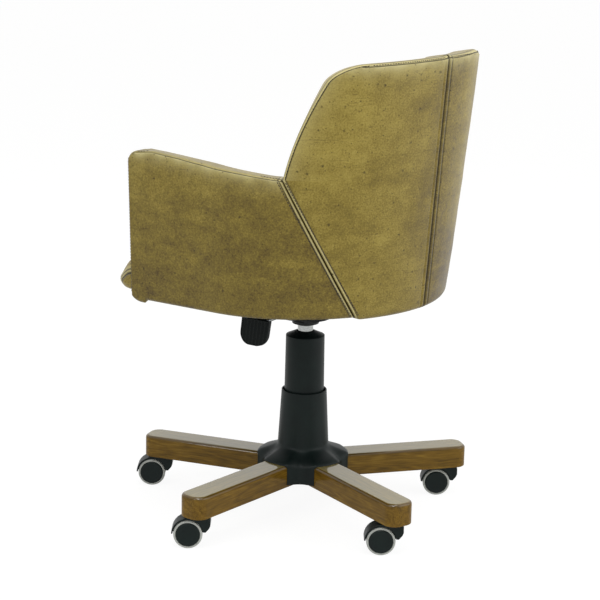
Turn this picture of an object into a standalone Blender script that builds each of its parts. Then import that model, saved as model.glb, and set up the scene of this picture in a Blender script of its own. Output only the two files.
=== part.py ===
"""Leather tub armchair on a five-star wooden base, at rest with its gas lift fully down.

Metres. Front is -Y, the sitter's left is +X, the column stands on the Z axis and the floor is Z = 0.
"""

import math

import bmesh
import bpy
from mathutils import Matrix, Vector

# Fits
GAP = 0.0003  # between pieces that touch
SEAT_FIT = 0.0012  # board and cushion inside the curved shell
CUT_PAST = 0.0100  # how far a cutter runs past the face it opens
EDGE_BREAK = 0.0010

# Casters
WHEEL_RADIUS = 0.025
WHEEL_FACETS = 16
TREAD_DEPTH = 0.0042
WHEEL_INNER_FACE = 0.0076
WHEEL_OUTER_FACE = 0.0175
TREAD_INSET = 0.0008
TREAD_SHOULDER = (0.0016, 0.0022)
WHEEL_SHOULDER = (0.0020, 0.0015)
AXLE_RADIUS = 0.003
AXLE_COVER = 0.004  # wheel left closed over the axle's end
CASTER_TRAIL = 0.0198
CASTER_RUNNING_GAP = 0.0012
HOOD_WALL = 0.0025
HOOD_HALF_WIDTH = 0.0155
HOOD_STEM_SIDE = 0.0185
HOOD_CROWN_REACH = 0.0015
HOOD_CROWN_CORNER = 0.0030
HOOD_HEEL_CUT = (0.0020, 0.0050)
HOOD_ARC = (2, 72)  # degrees up from the axle's level
HOOD_HEEL_HEIGHT = 0.041
HOOD_TOE_HEIGHT = 0.029
WEB_HALF_THICKNESS = 0.0070
WEB_FOOT_RADIUS = 0.0100
STEM_RADIUS = 0.0050
STEM_FOOT = 0.031
STEM_COLLAR_RADIUS = 0.0095
STEM_COLLAR = 0.0010
CASTER_HEADING = math.radians(303.8)  # way the wheels trail in the photograph

# Five-star base
LEG_COUNT = 5
FIRST_LEG = math.radians(67.35)
LEG_TIP_RADIUS = 0.3095
LEG_ROOT_RADIUS = 0.0440
LEG_WIDTH = 0.0524
LEG_BOTTOM = 0.0568
LEG_HEIGHT = 0.0400
LEG_CORNER = 0.0200
LEG_ROUND = 0.0060
CASTER_SETBACK = 0.0303  # caster stems and the steel arms end inside the legs' tips
ARM_WIDTH = 0.0250
ARM_HEIGHT = 0.0180
ARM_LIFT = 0.0020  # arm above the leg's underside
ARM_SETBACK = 0.0135
HUB_RADIUS = 0.0290
HUB_TOP = 0.1300

# Column
TUBE_RADIUS = 0.0250
TUBE_WALL = 0.0020
TUBE_BOTTOM = 0.0580
TUBE_TOP = 0.3183
TUBE_FLOOR = 0.0030
BUSH_LENGTH = 0.0800
BUSH_FLANGE_RADIUS = 0.0245
CYLINDER_RADIUS = 0.0140
CYLINDER_WALL = 0.0030
CYLINDER_BOTTOM = 0.1250
CYLINDER_GUIDE = 0.0100
CYLINDER_TOP = 0.3780
TAPER_START = 0.3450
TAPER_TOP_RADIUS = 0.0132
PISTON_ROD_RADIUS = 0.0050
PISTON_TOP = 0.3250
PISTON_LENGTH = 0.0150
ROD_COLLAR_RADIUS = 0.0120
ROD_COLLAR = 0.0050
ROD_END_RADIUS = 0.0040
VALVE_RADIUS = 0.0030
VALVE_LENGTH = 0.0220
VALVE_PROUD = 0.0060
VALVE_TRAVEL = 0.0056
ROUND_STEPS = 20

# Covers
COVER_WALL = 0.0025
HUB_COVER_RIM = 0.2190
HUB_COVER_RIM_RADIUS = 0.0406
HUB_COVER_NECK = 0.1206
HUB_COVER_NECK_RADIUS = 0.0458
HUB_COVER_BOTTOM = 0.0620
LOBE_RADIUS = 0.0830
VALLEY_RADIUS = 0.0735
LOBE_STEPS = 10
LOBE_FLAT = 0.50  # share of the half pitch at full lobe, then a share over which it falls away
LOBE_FALL = 0.45
FLARE_POWER = 2.0
LOBE_POWER = 0.6
FLARE_SHARE = 0.45  # of the drop below the neck that is curved
FLARE_STEP = 0.0044
FLARE_RINGS = 7
HUB_COVER_LIP = 0.0030
COLUMN_COVER_BOTTOM = 0.1900
COLUMN_COVER_SHOULDER = 0.3196
COLUMN_COVER_TOP = 0.3280
COLUMN_COVER_RADIUS = 0.0347
COLUMN_COVER_DRAFT = 0.0012
COLUMN_COVER_BORE = 0.0155
CONE_WALL = 0.0020

# Tilt mechanism
HOUSING_HALF_WIDTH = 0.0650
HOUSING_WALL = 0.0030
HOUSING_FRONT = -0.1260
HOUSING_REAR = 0.0840
HOUSING_BOTTOM = 0.3480
HOUSING_FLOOR_HALF_WIDTH = 0.0280
HOUSING_FLOOR_REAR = 0.0150
HOUSING_SHOULDER = 0.3640
HOUSING_TOP = 0.3960
HOUSING_TOP_REAR = 0.3740
HOUSING_SLOPE_START = -0.0300
BOSS_RADIUS = 0.0240
BOSS_TOE_RADIUS = 0.0150
BOSS_BOTTOM = 0.3385
BOSS_CONE = 0.0031
SOCKET_RADIUS = 0.0200
SOCKET_TOP = 0.3760
PIVOT_Y = -0.0600
PIVOT_Z = 0.3850
PIN_RADIUS = 0.0060
PIN_HALF_LENGTH = 0.0730
EAR_GAP = 0.0010
EAR_WALL = 0.0030
EAR_HALF_LENGTH = 0.0250
EAR_DROP = 0.0110
BRACKET_WALL = 0.0030
BRACKET_HALF_WIDTH = 0.1000
BRACKET_FRONT = -0.1480
BRACKET_REAR = 0.1250
SPRING_Y = -0.1000
SPRING_RADIUS = 0.0120
SPRING_WIRE = 0.0020
SPRING_TURNS = 4
SPRING_TOP = 0.3870
BOLT_RADIUS = 0.0040
BOLT_HEAD_RADIUS = 0.0150
BOLT_HEAD = 0.0030
KNOB_RADIUS = 0.0170
KNOB_LOBE = 0.0010
KNOB_LOBES = 10
KNOB_HEIGHT = 0.0200
KNOB_CLEARANCE = 0.0020

# Lever
LEVER_X = 0.0640  # pivot, in the housing's left wall
LEVER_Y = 0.0015
LEVER_Z = 0.3700
LEVER_RADIUS = 0.0040
LEVER_REACH = 0.1550
LEVER_TIP = -0.0060
LEVER_BENDS = (0.0220, 0.0460)
LEVER_BEND_RADIUS = 0.0060
PADDLE_TOP = (0.1550, 0.3795)
PADDLE_FOOT = (0.1610, 0.3310)
PADDLE_HALF_WIDTH = 0.0300
PADDLE_FOOT_HALF_WIDTH = 0.0290
PADDLE_THICKNESS = 0.0090
PADDLE_CORNER = 0.0220
PADDLE_FLUTES = 8
PADDLE_FLUTE_DEPTH = 0.0014
PADDLE_BOSS_RADIUS = 0.0075
PADDLE_BOSS = 0.0160
PADDLE_BOSS_CAP = 0.0040

# Upholstered shell: the plan is a squared ellipse that grows upwards
SHELL_BOTTOM = 0.4105
PLAN_HALF_WIDTH = 0.2712
PLAN_HALF_WIDTH_GROWTH = 0.038
PLAN_BACK = 0.2410
PLAN_BACK_GROWTH = 0.073
PLAN_SQUARENESS = 1.94
PLAN_SQUARENESS_GROWTH = 0.457  # from the bottom edge to the rim
ARM_FRONT = -0.1812
ARM_TOP_FRONT = 0.6668
ARM_FRONT_CORNER = 0.0220
NOTCH_ANGLE = 25.2
NOTCH_HEIGHT = 0.6455
SEAM_FOOT_ANGLE = 55.5
EDGE_LEAN = 6.5  # degrees of turn up the free edge, the second number a curve on top of the first
EDGE_CURVE = 7.2
CORNER_ANGLE = 56.5
CORNER_RISE = 0.0302
RIM_ARCH = 0.0028
RIM_HEIGHT = 0.8380
ARM_CORNER_LEVELS = (1.1, 0.6)  # shares of the corner below the arm's top
EDGE_LEVELS = (0.12, 0.42, 0.72, 1.0)
CORNER_LEVELS = (0.38, 0.66, 0.87, 1.0)
RIM_FALL = 0.0090  # inner edge of the back's top below its outer edge
SHELL_THICKNESS = 0.0480
FREE_EDGE_ROUND = 0.0070
SEAM_ROUND = 0.0030
FRAME_DEPTH = 0.0180  # padding outside the frame boards
FRAME_WALL = 0.0120
FRAME_MARGIN = 0.0300  # padding round the frame boards' free edges

# Seat
BOARD_THICKNESS = 0.0120
BOARD_FRONT = -0.2430
BOARD_FRONT_HALF_WIDTH = 0.2120
BOARD_STEP = -0.1700
BOARD_CORNER = 0.0400
DUST_COVER = 0.0007
DUST_COVER_INSET = 0.0080
CUSHION_FRONT = -0.2650
CUSHION_BOTTOM = 0.4080
CUSHION_TOP = 0.4600
CUSHION_CORNER = 0.0450
CUSHION_ROUND = 0.0340
CUSHION_LOWER_ROUND = 0.0140
CUSHION_CROWN = 0.0260
CUSHION_SLOPE = 0.0900
CROWN_STEPS = ((0.7, 0.5), (1.0, 1.0))  # shares of the crown's height and of its slope

LEG_TOP = LEG_BOTTOM + LEG_HEIGHT
CASTER_RADIUS = LEG_TIP_RADIUS - CASTER_SETBACK
ARM_TIP_RADIUS = LEG_TIP_RADIUS - ARM_SETBACK
RIM_END_HEIGHT = RIM_HEIGHT - RIM_ARCH
EDGE_TOP_HEIGHT = RIM_END_HEIGHT - CORNER_RISE
BOARD_TOP = SHELL_BOTTOM + BOARD_THICKNESS
DUST_COVER_TOP = SHELL_BOTTOM - GAP
BRACKET_TOP = DUST_COVER_TOP - DUST_COVER - GAP


def finish(name, colour, roughness, metallic=0.0):
    """Principled material, made once for each finish."""
    found = bpy.data.materials.get(name)
    if found:
        return found
    made = bpy.data.materials.new(name)
    made.use_nodes = True
    shader = made.node_tree.nodes["Principled BSDF"]
    shader.inputs["Base Color"].default_value = (*colour, 1.0)
    shader.inputs["Roughness"].default_value = roughness
    shader.inputs["Metallic"].default_value = metallic
    made.diffuse_color = (*colour, 1.0)
    return made


def leather():
    return finish("olive leather", (0.27, 0.20, 0.06), 0.5)


def lacquered_wood():
    return finish("lacquered hardwood", (0.15, 0.08, 0.02), 0.2)


def black_nylon():
    return finish("black nylon", (0.014, 0.018, 0.019), 0.5)


def grey_rubber():
    return finish("grey tread", (0.25, 0.26, 0.26), 0.6)


def steel():
    return finish("painted steel", (0.03, 0.03, 0.03), 0.45, 0.6)


def bright_steel():
    return finish("chromed steel", (0.7, 0.7, 0.7), 0.15, 1.0)


def plywood():
    return finish("plywood", (0.45, 0.30, 0.15), 0.7)


def black_cloth():
    return finish("black cloth", (0.01, 0.01, 0.01), 0.9)


def axis_empty(name, place, parent=None, heading=0.0):
    """Empty on a joint's axis, which the pieces of that body hang on."""
    empty = bpy.data.objects.new(name, None)
    empty.empty_display_size = 0.02
    bpy.context.scene.collection.objects.link(empty)
    empty.matrix_world = Matrix.Translation(place) @ Matrix.Rotation(heading, 4, "Z")
    if parent:
        empty.parent = parent
        empty.matrix_parent_inverse = parent.matrix_world.inverted()
    bpy.context.view_layer.update()
    return empty


def add(name, mesh, material, parent=None, local=False):
    """Named sub-part. A local mesh sits in its parent's frame, any other keeps its world place."""
    obj = bpy.data.objects.new(name, mesh)
    bpy.context.scene.collection.objects.link(obj)
    if not mesh.materials:
        mesh.materials.append(material)
    if parent:
        obj.parent = parent
        if not local:
            obj.matrix_parent_inverse = parent.matrix_world.inverted()
    return obj


def to_mesh(bm, name, smooth_angle=35):
    bmesh.ops.remove_doubles(bm, verts=bm.verts, dist=1e-6)
    bmesh.ops.recalc_face_normals(bm, faces=bm.faces)
    mesh = bpy.data.meshes.new(name)
    bm.to_mesh(mesh)
    bm.free()
    mesh.shade_smooth()
    mesh.set_sharp_from_angle(angle=math.radians(smooth_angle))
    return mesh


def revolve(name, profile, steps=ROUND_STEPS, axis="Z", half_step=False):
    """Solid turned from a closed (radius, height) profile. half_step puts a flat facet at the bottom."""
    bm = bmesh.new()
    verts = [bm.verts.new((radius, 0, height)) for radius, height in profile]
    pairs = zip(verts, verts[1:] + verts[:1])
    edges = [bm.edges.new((a, b)) for a, b in pairs if max(a.co.x, b.co.x) > 0]
    bmesh.ops.spin(bm, geom=verts + edges, cent=(0, 0, 0), axis=(0, 0, 1),
                   angle=math.tau, steps=steps, use_merge=True)
    if half_step:
        bmesh.ops.rotate(bm, verts=bm.verts, matrix=Matrix.Rotation(math.pi / steps, 3, "Z"))
    if axis == "Y":
        bmesh.ops.rotate(bm, verts=bm.verts, matrix=Matrix.Rotation(-math.pi / 2, 3, "X"))
    if axis == "X":
        bmesh.ops.rotate(bm, verts=bm.verts, matrix=Matrix.Rotation(math.pi / 2, 3, "Y"))
    return to_mesh(bm, name)


def rod(name, radius, low, high, steps=ROUND_STEPS, axis="Z"):
    return revolve(name, [(0, low), (radius, low), (radius, high), (0, high)], steps, axis)


def prism(name, outline, low, high, axis="Z", smooth_angle=35):
    """Solid between two heights over a closed outline. axis Y or X lays the height along that axis."""
    place = {
        "Z": lambda a, b, h: (a, b, h),
        "Y": lambda a, b, h: (a, h, b),
        "X": lambda a, b, h: (h, a, b),
    }[axis]
    bm = bmesh.new()
    face = bm.faces.new([bm.verts.new(place(a, b, low)) for a, b in outline])
    top = bmesh.ops.extrude_face_region(bm, geom=[face])["geom"]
    moved = [v for v in top if isinstance(v, bmesh.types.BMVert)]
    bmesh.ops.translate(bm, verts=moved, vec=place(0, 0, high - low))
    return to_mesh(bm, name, smooth_angle)


def box(name, low, high):
    outline = [(low[0], low[1]), (high[0], low[1]), (high[0], high[1]), (low[0], high[1])]
    return prism(name, outline, low[2], high[2])


def arc(centre, radius, start, end, steps):
    """Points along an arc, angles in degrees."""
    angles = [math.radians(start + (end - start) * i / steps) for i in range(steps + 1)]
    return [(centre[0] + radius * math.cos(a), centre[1] + radius * math.sin(a)) for a in angles]


def moved(mesh, matrix):
    mesh.transform(matrix)
    return mesh


def joined(name, meshes):
    """Several separate bodies in one mesh, used as one cutting tool."""
    bm = bmesh.new()
    for mesh in meshes:
        bm.from_mesh(mesh)
    return to_mesh(bm, name)


def carve(name, mesh, tools, smooth_angle=35):
    """The mesh after each (operation, tool mesh) in turn."""
    scene = bpy.context.scene
    body = bpy.data.objects.new("body", mesh)
    scene.collection.objects.link(body)
    helpers = []
    for operation, tool in tools:
        helper = bpy.data.objects.new("tool", tool)
        helper.hide_render = True
        helper.display_type = "WIRE"
        scene.collection.objects.link(helper)
        helpers.append(helper)
        cut = body.modifiers.new(operation, "BOOLEAN")
        cut.operation = operation
        cut.object = helper
    graph = bpy.context.evaluated_depsgraph_get()
    graph.update()
    result = bpy.data.meshes.new_from_object(body.evaluated_get(graph))
    result.name = name
    for helper in helpers:
        bpy.data.objects.remove(helper)
    bpy.data.objects.remove(body)
    result.materials.clear()
    result.shade_smooth()
    result.set_sharp_from_angle(angle=math.radians(smooth_angle))
    return result


def turned(angle):
    return Matrix.Rotation(angle, 4, "Z")


def leg_angles():
    return [FIRST_LEG + math.tau * i / LEG_COUNT for i in range(LEG_COUNT)]


# Five-star base


def leg_outline(grow=0.0):
    half = LEG_WIDTH / 2 + grow
    tip = LEG_TIP_RADIUS + grow
    corner = LEG_CORNER + grow
    points = arc((tip - corner, -half + corner), corner, -90, 0, 6)
    points += arc((tip - corner, half - corner), corner, 0, 90, 6)
    return points + [(LEG_ROOT_RADIUS, half), (LEG_ROOT_RADIUS, -half)]


def leg_mesh():
    """Hardwood leg with round-over top edges and a groove underneath for the steel arm."""
    bm = bmesh.new()
    bm.from_mesh(prism("leg", leg_outline(), LEG_BOTTOM, LEG_TOP))
    rim = [
        e for e in bm.edges
        if all(abs(v.co.z - LEG_TOP) < 1e-6 for v in e.verts)
        and max(v.co.x for v in e.verts) > LEG_ROOT_RADIUS + 1e-6
    ]
    bmesh.ops.bevel(bm, geom=rim, offset=LEG_ROUND, segments=3, profile=0.5, affect="EDGES",
                    material=-1)
    groove = box(
        "groove",
        (LEG_ROOT_RADIUS - CUT_PAST, -ARM_WIDTH / 2 - GAP, LEG_BOTTOM - CUT_PAST),
        (ARM_TIP_RADIUS + GAP, ARM_WIDTH / 2 + GAP, LEG_BOTTOM + ARM_LIFT + ARM_HEIGHT + GAP),
    )
    return carve("leg", to_mesh(bm, "leg blank"), [("DIFFERENCE", groove)], 25)


def build_base():
    arm_low = LEG_BOTTOM + ARM_LIFT
    star = []
    valley = ARM_WIDTH / 2 / math.sin(math.pi / LEG_COUNT)
    for angle in leg_angles():
        along = Vector((math.cos(angle), math.sin(angle)))
        across = Vector((-along.y, along.x)) * ARM_WIDTH / 2
        star += [tuple(along * ARM_TIP_RADIUS - across), tuple(along * ARM_TIP_RADIUS + across)]
        bisector = angle + math.pi / LEG_COUNT
        star.append((valley * math.cos(bisector), valley * math.sin(bisector)))
    spider = prism("spider", star, arm_low, arm_low + ARM_HEIGHT)
    hub = rod("hub", HUB_RADIUS, LEG_BOTTOM, HUB_TOP)
    bore = rod("hub bore", TUBE_RADIUS + GAP, LEG_BOTTOM - CUT_PAST, HUB_TOP + CUT_PAST)
    holes = [
        moved(rod("stem hole", STEM_RADIUS + GAP, LEG_BOTTOM - CUT_PAST, LEG_TOP, 12),
              turned(angle) @ Matrix.Translation((CASTER_RADIUS, 0, 0)))
        for angle in leg_angles()
    ]
    cuts = [("UNION", hub), ("DIFFERENCE", bore), ("DIFFERENCE", joined("stem holes", holes))]
    add("base_frame", carve("base_frame", spider, cuts), steel())
    leg = leg_mesh()
    for number, angle in enumerate(leg_angles(), 1):
        obj = add(f"leg_{number}", leg, lacquered_wood())
        obj.rotation_euler.z = angle


# Casters, each in a frame with the stem on the Z axis and the wheels trailing along +X


def hood_mesh():
    axle_z = WHEEL_RADIUS
    inner = WHEEL_RADIUS + CASTER_RUNNING_GAP
    outer = inner + HOOD_WALL
    top = LEG_BOTTOM - STEM_COLLAR - 2 * GAP
    centre = (CASTER_TRAIL, axle_z)
    heel = -HOOD_STEM_SIDE
    toe_x = CASTER_TRAIL - math.sqrt(outer ** 2 - (HOOD_TOE_HEIGHT - axle_z) ** 2)
    stem_angle = 180 - math.degrees(math.asin((HOOD_TOE_HEIGHT - axle_z) / inner))
    corner = HOOD_CROWN_CORNER
    cut_x, cut_z = HOOD_HEEL_CUT
    outline = arc(centre, outer, *HOOD_ARC, 6)
    outline += [(CASTER_TRAIL + HOOD_CROWN_REACH, top), (heel + corner, top), (heel, top - corner)]
    outline += [(heel, HOOD_HEEL_HEIGHT), (heel + cut_x, HOOD_HEEL_HEIGHT - cut_z)]
    outline += [(toe_x - cut_x, HOOD_TOE_HEIGHT)]
    outline += arc(centre, inner, stem_angle, HOOD_ARC[0], 10)
    roof = prism("roof", outline, -HOOD_HALF_WIDTH, HOOD_HALF_WIDTH, "Y")
    plate = arc(centre, inner + HOOD_WALL / 2, 5, 175, 8) + arc(centre, WEB_FOOT_RADIUS, 180, 360, 6)
    web = prism("web", plate, -WEB_HALF_THICKNESS, WEB_HALF_THICKNESS, "Y")
    reach = WHEEL_OUTER_FACE - AXLE_COVER
    axle = moved(rod("axle", AXLE_RADIUS, -reach, reach, 12, "Y"),
                 Matrix.Translation((CASTER_TRAIL, 0, axle_z)))
    bore = rod("stem bore", STEM_RADIUS + GAP, STEM_FOOT - GAP, LEG_BOTTOM, 12)
    return carve("hood", roof, [("UNION", web), ("UNION", axle), ("DIFFERENCE", bore)])


def stem_mesh():
    collar_top = LEG_BOTTOM - GAP
    collar_low = collar_top - STEM_COLLAR
    top = LEG_BOTTOM + ARM_LIFT + ARM_HEIGHT
    return revolve("stem", [
        (0, STEM_FOOT), (STEM_RADIUS, STEM_FOOT), (STEM_RADIUS, collar_low),
        (STEM_COLLAR_RADIUS, collar_low), (STEM_COLLAR_RADIUS, collar_top),
        (STEM_RADIUS, collar_top), (STEM_RADIUS, top - EDGE_BREAK), (STEM_RADIUS - EDGE_BREAK, top), (0, top),
    ], 12)


def wheel_meshes():
    """Wheel core and tread about the Y axis, with the outer face towards +Y."""
    core = WHEEL_RADIUS - TREAD_DEPTH
    width = WHEEL_OUTER_FACE - WHEEL_INNER_FACE
    bore = AXLE_RADIUS + GAP
    floor = width - AXLE_COVER + GAP
    round_r, round_w = WHEEL_SHOULDER
    wheel = revolve("wheel", [
        (bore, 0), (bore, floor), (0, floor), (0, width), (core - round_r, width),
        (core, width - round_w), (core, 0),
    ], WHEEL_FACETS, "Y", True)
    tangent = 1 / math.cos(math.pi / WHEEL_FACETS)  # facets touch the true radius
    low = TREAD_INSET
    high = width - TREAD_INSET
    rim = WHEEL_RADIUS * tangent
    inner = (core + GAP) * tangent
    round_r, round_w = TREAD_SHOULDER
    tread = revolve("tread", [
        (inner, low), (inner, high), (rim - round_r, high), (rim, high - round_w),
        (rim, low + round_w), (rim - round_r, low),
    ], WHEEL_FACETS, "Y", True)
    return wheel, tread


def build_casters():
    hood = hood_mesh()
    stem = stem_mesh()
    wheel, tread = wheel_meshes()
    for number, angle in enumerate(leg_angles(), 1):
        place = (CASTER_RADIUS * math.cos(angle), CASTER_RADIUS * math.sin(angle), 0)
        swivel = axis_empty(f"caster_{number}_swivel", place, heading=CASTER_HEADING)
        add(f"caster_{number}_stem", stem, bright_steel(), swivel, local=True)
        add(f"caster_{number}_hood", hood, black_nylon(), swivel, local=True)
        for side, way in (("a", 1), ("b", -1)):
            for kind, mesh, material in (("wheel", wheel, black_nylon()), ("tread", tread, grey_rubber())):
                obj = add(f"caster_{number}_{kind}_{side}", mesh, material, swivel, local=True)
                obj.location = (CASTER_TRAIL, way * WHEEL_INNER_FACE, WHEEL_RADIUS)
                obj.rotation_euler.z = 0 if way > 0 else math.pi


# Column


def cone_underside(radius):
    """Height of the column cover's cone inside, where it rests on the guide bush."""
    low = (COLUMN_COVER_RADIUS - COVER_WALL, COLUMN_COVER_SHOULDER - CONE_WALL)
    high = (COLUMN_COVER_BORE, COLUMN_COVER_TOP - CONE_WALL)
    return low[1] + (high[1] - low[1]) * (low[0] - radius) / (low[0] - high[0])


def build_column(lift):
    inside = TUBE_RADIUS - TUBE_WALL
    floor = TUBE_BOTTOM + TUBE_FLOOR
    add("stand_tube", revolve("stand_tube", [
        (ROD_END_RADIUS + GAP, TUBE_BOTTOM), (TUBE_RADIUS, TUBE_BOTTOM), (TUBE_RADIUS, TUBE_TOP),
        (inside, TUBE_TOP), (inside, floor), (ROD_END_RADIUS + GAP, floor),
    ]), steel())
    bush_low = TUBE_TOP + GAP
    bush_top = cone_underside(BUSH_FLANGE_RADIUS) - GAP
    add("guide_bush", revolve("guide_bush", [
        (CYLINDER_RADIUS + GAP, bush_top - BUSH_LENGTH), (inside - GAP, bush_top - BUSH_LENGTH),
        (inside - GAP, bush_low), (BUSH_FLANGE_RADIUS, bush_low), (BUSH_FLANGE_RADIUS, bush_top),
        (CYLINDER_RADIUS + GAP, bush_top),
    ]), black_nylon())
    bore = CYLINDER_RADIUS - CYLINDER_WALL
    collar = floor + GAP
    piston = PISTON_TOP - PISTON_LENGTH
    add("piston_rod", revolve("piston_rod", [
        (0, TUBE_BOTTOM), (ROD_END_RADIUS, TUBE_BOTTOM), (ROD_END_RADIUS, collar),
        (ROD_COLLAR_RADIUS, collar), (ROD_COLLAR_RADIUS, collar + ROD_COLLAR),
        (PISTON_ROD_RADIUS, collar + ROD_COLLAR), (PISTON_ROD_RADIUS, piston),
        (bore - GAP, piston), (bore - GAP, PISTON_TOP), (0, PISTON_TOP),
    ]), bright_steel(), lift)
    guide = CYLINDER_BOTTOM + CYLINDER_GUIDE
    valve_low = CYLINDER_TOP + VALVE_PROUD - VALVE_LENGTH
    valve_floor = valve_low - VALVE_TRAVEL - GAP
    add("gas_cylinder", revolve("gas_cylinder", [
        (PISTON_ROD_RADIUS + GAP, CYLINDER_BOTTOM), (CYLINDER_RADIUS, CYLINDER_BOTTOM),
        (CYLINDER_RADIUS, TAPER_START), (TAPER_TOP_RADIUS, CYLINDER_TOP), (VALVE_RADIUS + GAP, CYLINDER_TOP),
        (VALVE_RADIUS + GAP, valve_floor), (0, valve_floor), (0, PISTON_TOP + GAP), (bore, PISTON_TOP + GAP),
        (bore, guide), (PISTON_ROD_RADIUS + GAP, guide),
    ]), bright_steel(), lift)
    add("valve_button", rod("valve_button", VALVE_RADIUS, valve_low, valve_low + VALVE_LENGTH, 16),
        bright_steel(), lift)


# Covers


def hub_cover_radius(height, leg_share):
    """Outer radius. leg_share is 1 over a leg and 0 half-way between two legs."""
    if height >= HUB_COVER_NECK:
        rise = (height - HUB_COVER_NECK) / (HUB_COVER_RIM - HUB_COVER_NECK)
        return HUB_COVER_NECK_RADIUS + (HUB_COVER_RIM_RADIUS - HUB_COVER_NECK_RADIUS) * rise
    spread = VALLEY_RADIUS + (LOBE_RADIUS - VALLEY_RADIUS) * leg_share
    drop = (HUB_COVER_NECK - height) / (HUB_COVER_NECK - HUB_COVER_BOTTOM)
    turn = min(1.0, drop / FLARE_SHARE)
    flare = math.sin(turn * math.pi / 2) ** (FLARE_POWER + LOBE_POWER * leg_share)
    return HUB_COVER_NECK_RADIUS + (spread - HUB_COVER_NECK_RADIUS) * flare


def hub_cover_mesh():
    """Thin skirted tube with a lobe over each leg and an arch cut round it."""
    tall = [HUB_COVER_RIM - HUB_COVER_LIP, (HUB_COVER_RIM + HUB_COVER_NECK) / 2]
    flare = [HUB_COVER_NECK - FLARE_STEP * i for i in range(FLARE_RINGS)]
    heights = tall + flare + [HUB_COVER_BOTTOM]
    steps = LEG_COUNT * LOBE_STEPS
    bm = bmesh.new()
    rings = []
    inner_heights = [HUB_COVER_BOTTOM, *flare[::-2], tall[0]]
    for wall, levels in ((0, heights), (COVER_WALL, inner_heights)):
        for height in levels:
            ring = []
            for i in range(steps):
                turn = (i / LOBE_STEPS) % 1.0
                off = min(turn, 1 - turn) * 2  # 0 over a leg, 1 in a valley
                share = 1 - min(1.0, max(0.0, (off - LOBE_FLAT) / LOBE_FALL))
                share = share * share * (3 - 2 * share)
                radius = hub_cover_radius(height, share) - wall
                angle = FIRST_LEG + math.tau * i / steps
                ring.append(bm.verts.new((radius * math.cos(angle), radius * math.sin(angle), height)))
            rings.append(ring)
    lip = HUB_COVER_RIM_RADIUS - COVER_WALL / 2
    rings.append([
        bm.verts.new((lip * math.cos(FIRST_LEG + math.tau * i / steps),
                      lip * math.sin(FIRST_LEG + math.tau * i / steps), HUB_COVER_RIM))
        for i in range(steps)
    ])
    for lower, upper in zip(rings, rings[1:] + rings[:1]):
        for i in range(steps):
            j = (i + 1) % steps
            bm.faces.new((lower[i], lower[j], upper[j], upper[i]))
    half = LEG_WIDTH / 2 + GAP
    low = (HUB_COVER_NECK_RADIUS, -half, LEG_BOTTOM - CUT_PAST)
    high = (LOBE_RADIUS + CUT_PAST, half, LEG_TOP + GAP)
    arches = joined("arches", [moved(box("arch", low, high), turned(angle)) for angle in leg_angles()])
    return carve("hub_cover", to_mesh(bm, "hub cover blank"), [("DIFFERENCE", arches)], 40)


def build_covers():
    add("hub_cover", hub_cover_mesh(), black_nylon())
    radius = COLUMN_COVER_RADIUS
    foot = radius + COLUMN_COVER_DRAFT
    shoulder = COLUMN_COVER_SHOULDER
    add("column_cover", revolve("column_cover", [
        (foot - COVER_WALL, COLUMN_COVER_BOTTOM), (foot, COLUMN_COVER_BOTTOM),
        (radius, shoulder - EDGE_BREAK), (radius - EDGE_BREAK, shoulder),
        (COLUMN_COVER_BORE, COLUMN_COVER_TOP), (COLUMN_COVER_BORE, COLUMN_COVER_TOP - CONE_WALL),
        (radius - COVER_WALL, shoulder - CONE_WALL),
    ], 32), black_nylon())


# Tilt mechanism


def tray(name, inset):
    """Pressed tray with sloping sides and a rising rear, or its hollow when inset by the wall."""
    half = HOUSING_HALF_WIDTH - inset
    low = HOUSING_BOTTOM + inset
    floor = HOUSING_FLOOR_HALF_WIDTH - inset / 3
    shoulder = HOUSING_SHOULDER + inset / 3
    front = HOUSING_FRONT + inset
    rear = HOUSING_REAR - inset
    above = HOUSING_TOP + inset
    across = [(floor, low), (half, shoulder), (half, above), (-half, above), (-half, shoulder), (-floor, low)]
    chamfer = HOUSING_SHOULDER - HOUSING_BOTTOM
    along = [(front, low + chamfer / 2), (front + chamfer / 2, low), (HOUSING_FLOOR_REAR, low)]
    if inset:
        along += [(rear, HOUSING_TOP_REAR), (rear, above), (front, above)]
    else:
        along += [(rear, HOUSING_TOP_REAR - HOUSING_WALL), (rear, HOUSING_TOP_REAR)]
        along += [(HOUSING_SLOPE_START, above), (front, above)]
    section = prism(name, across, front, rear, "Y")
    return carve(name, section, [("INTERSECT", prism(name, along, -half, half, "X"))])


def pin_hole():
    reach = PIN_HALF_LENGTH + CUT_PAST
    return moved(rod("pin hole", PIN_RADIUS + GAP, -reach, reach, 20, "X"),
                 Matrix.Translation((0, PIVOT_Y, PIVOT_Z)))


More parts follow.
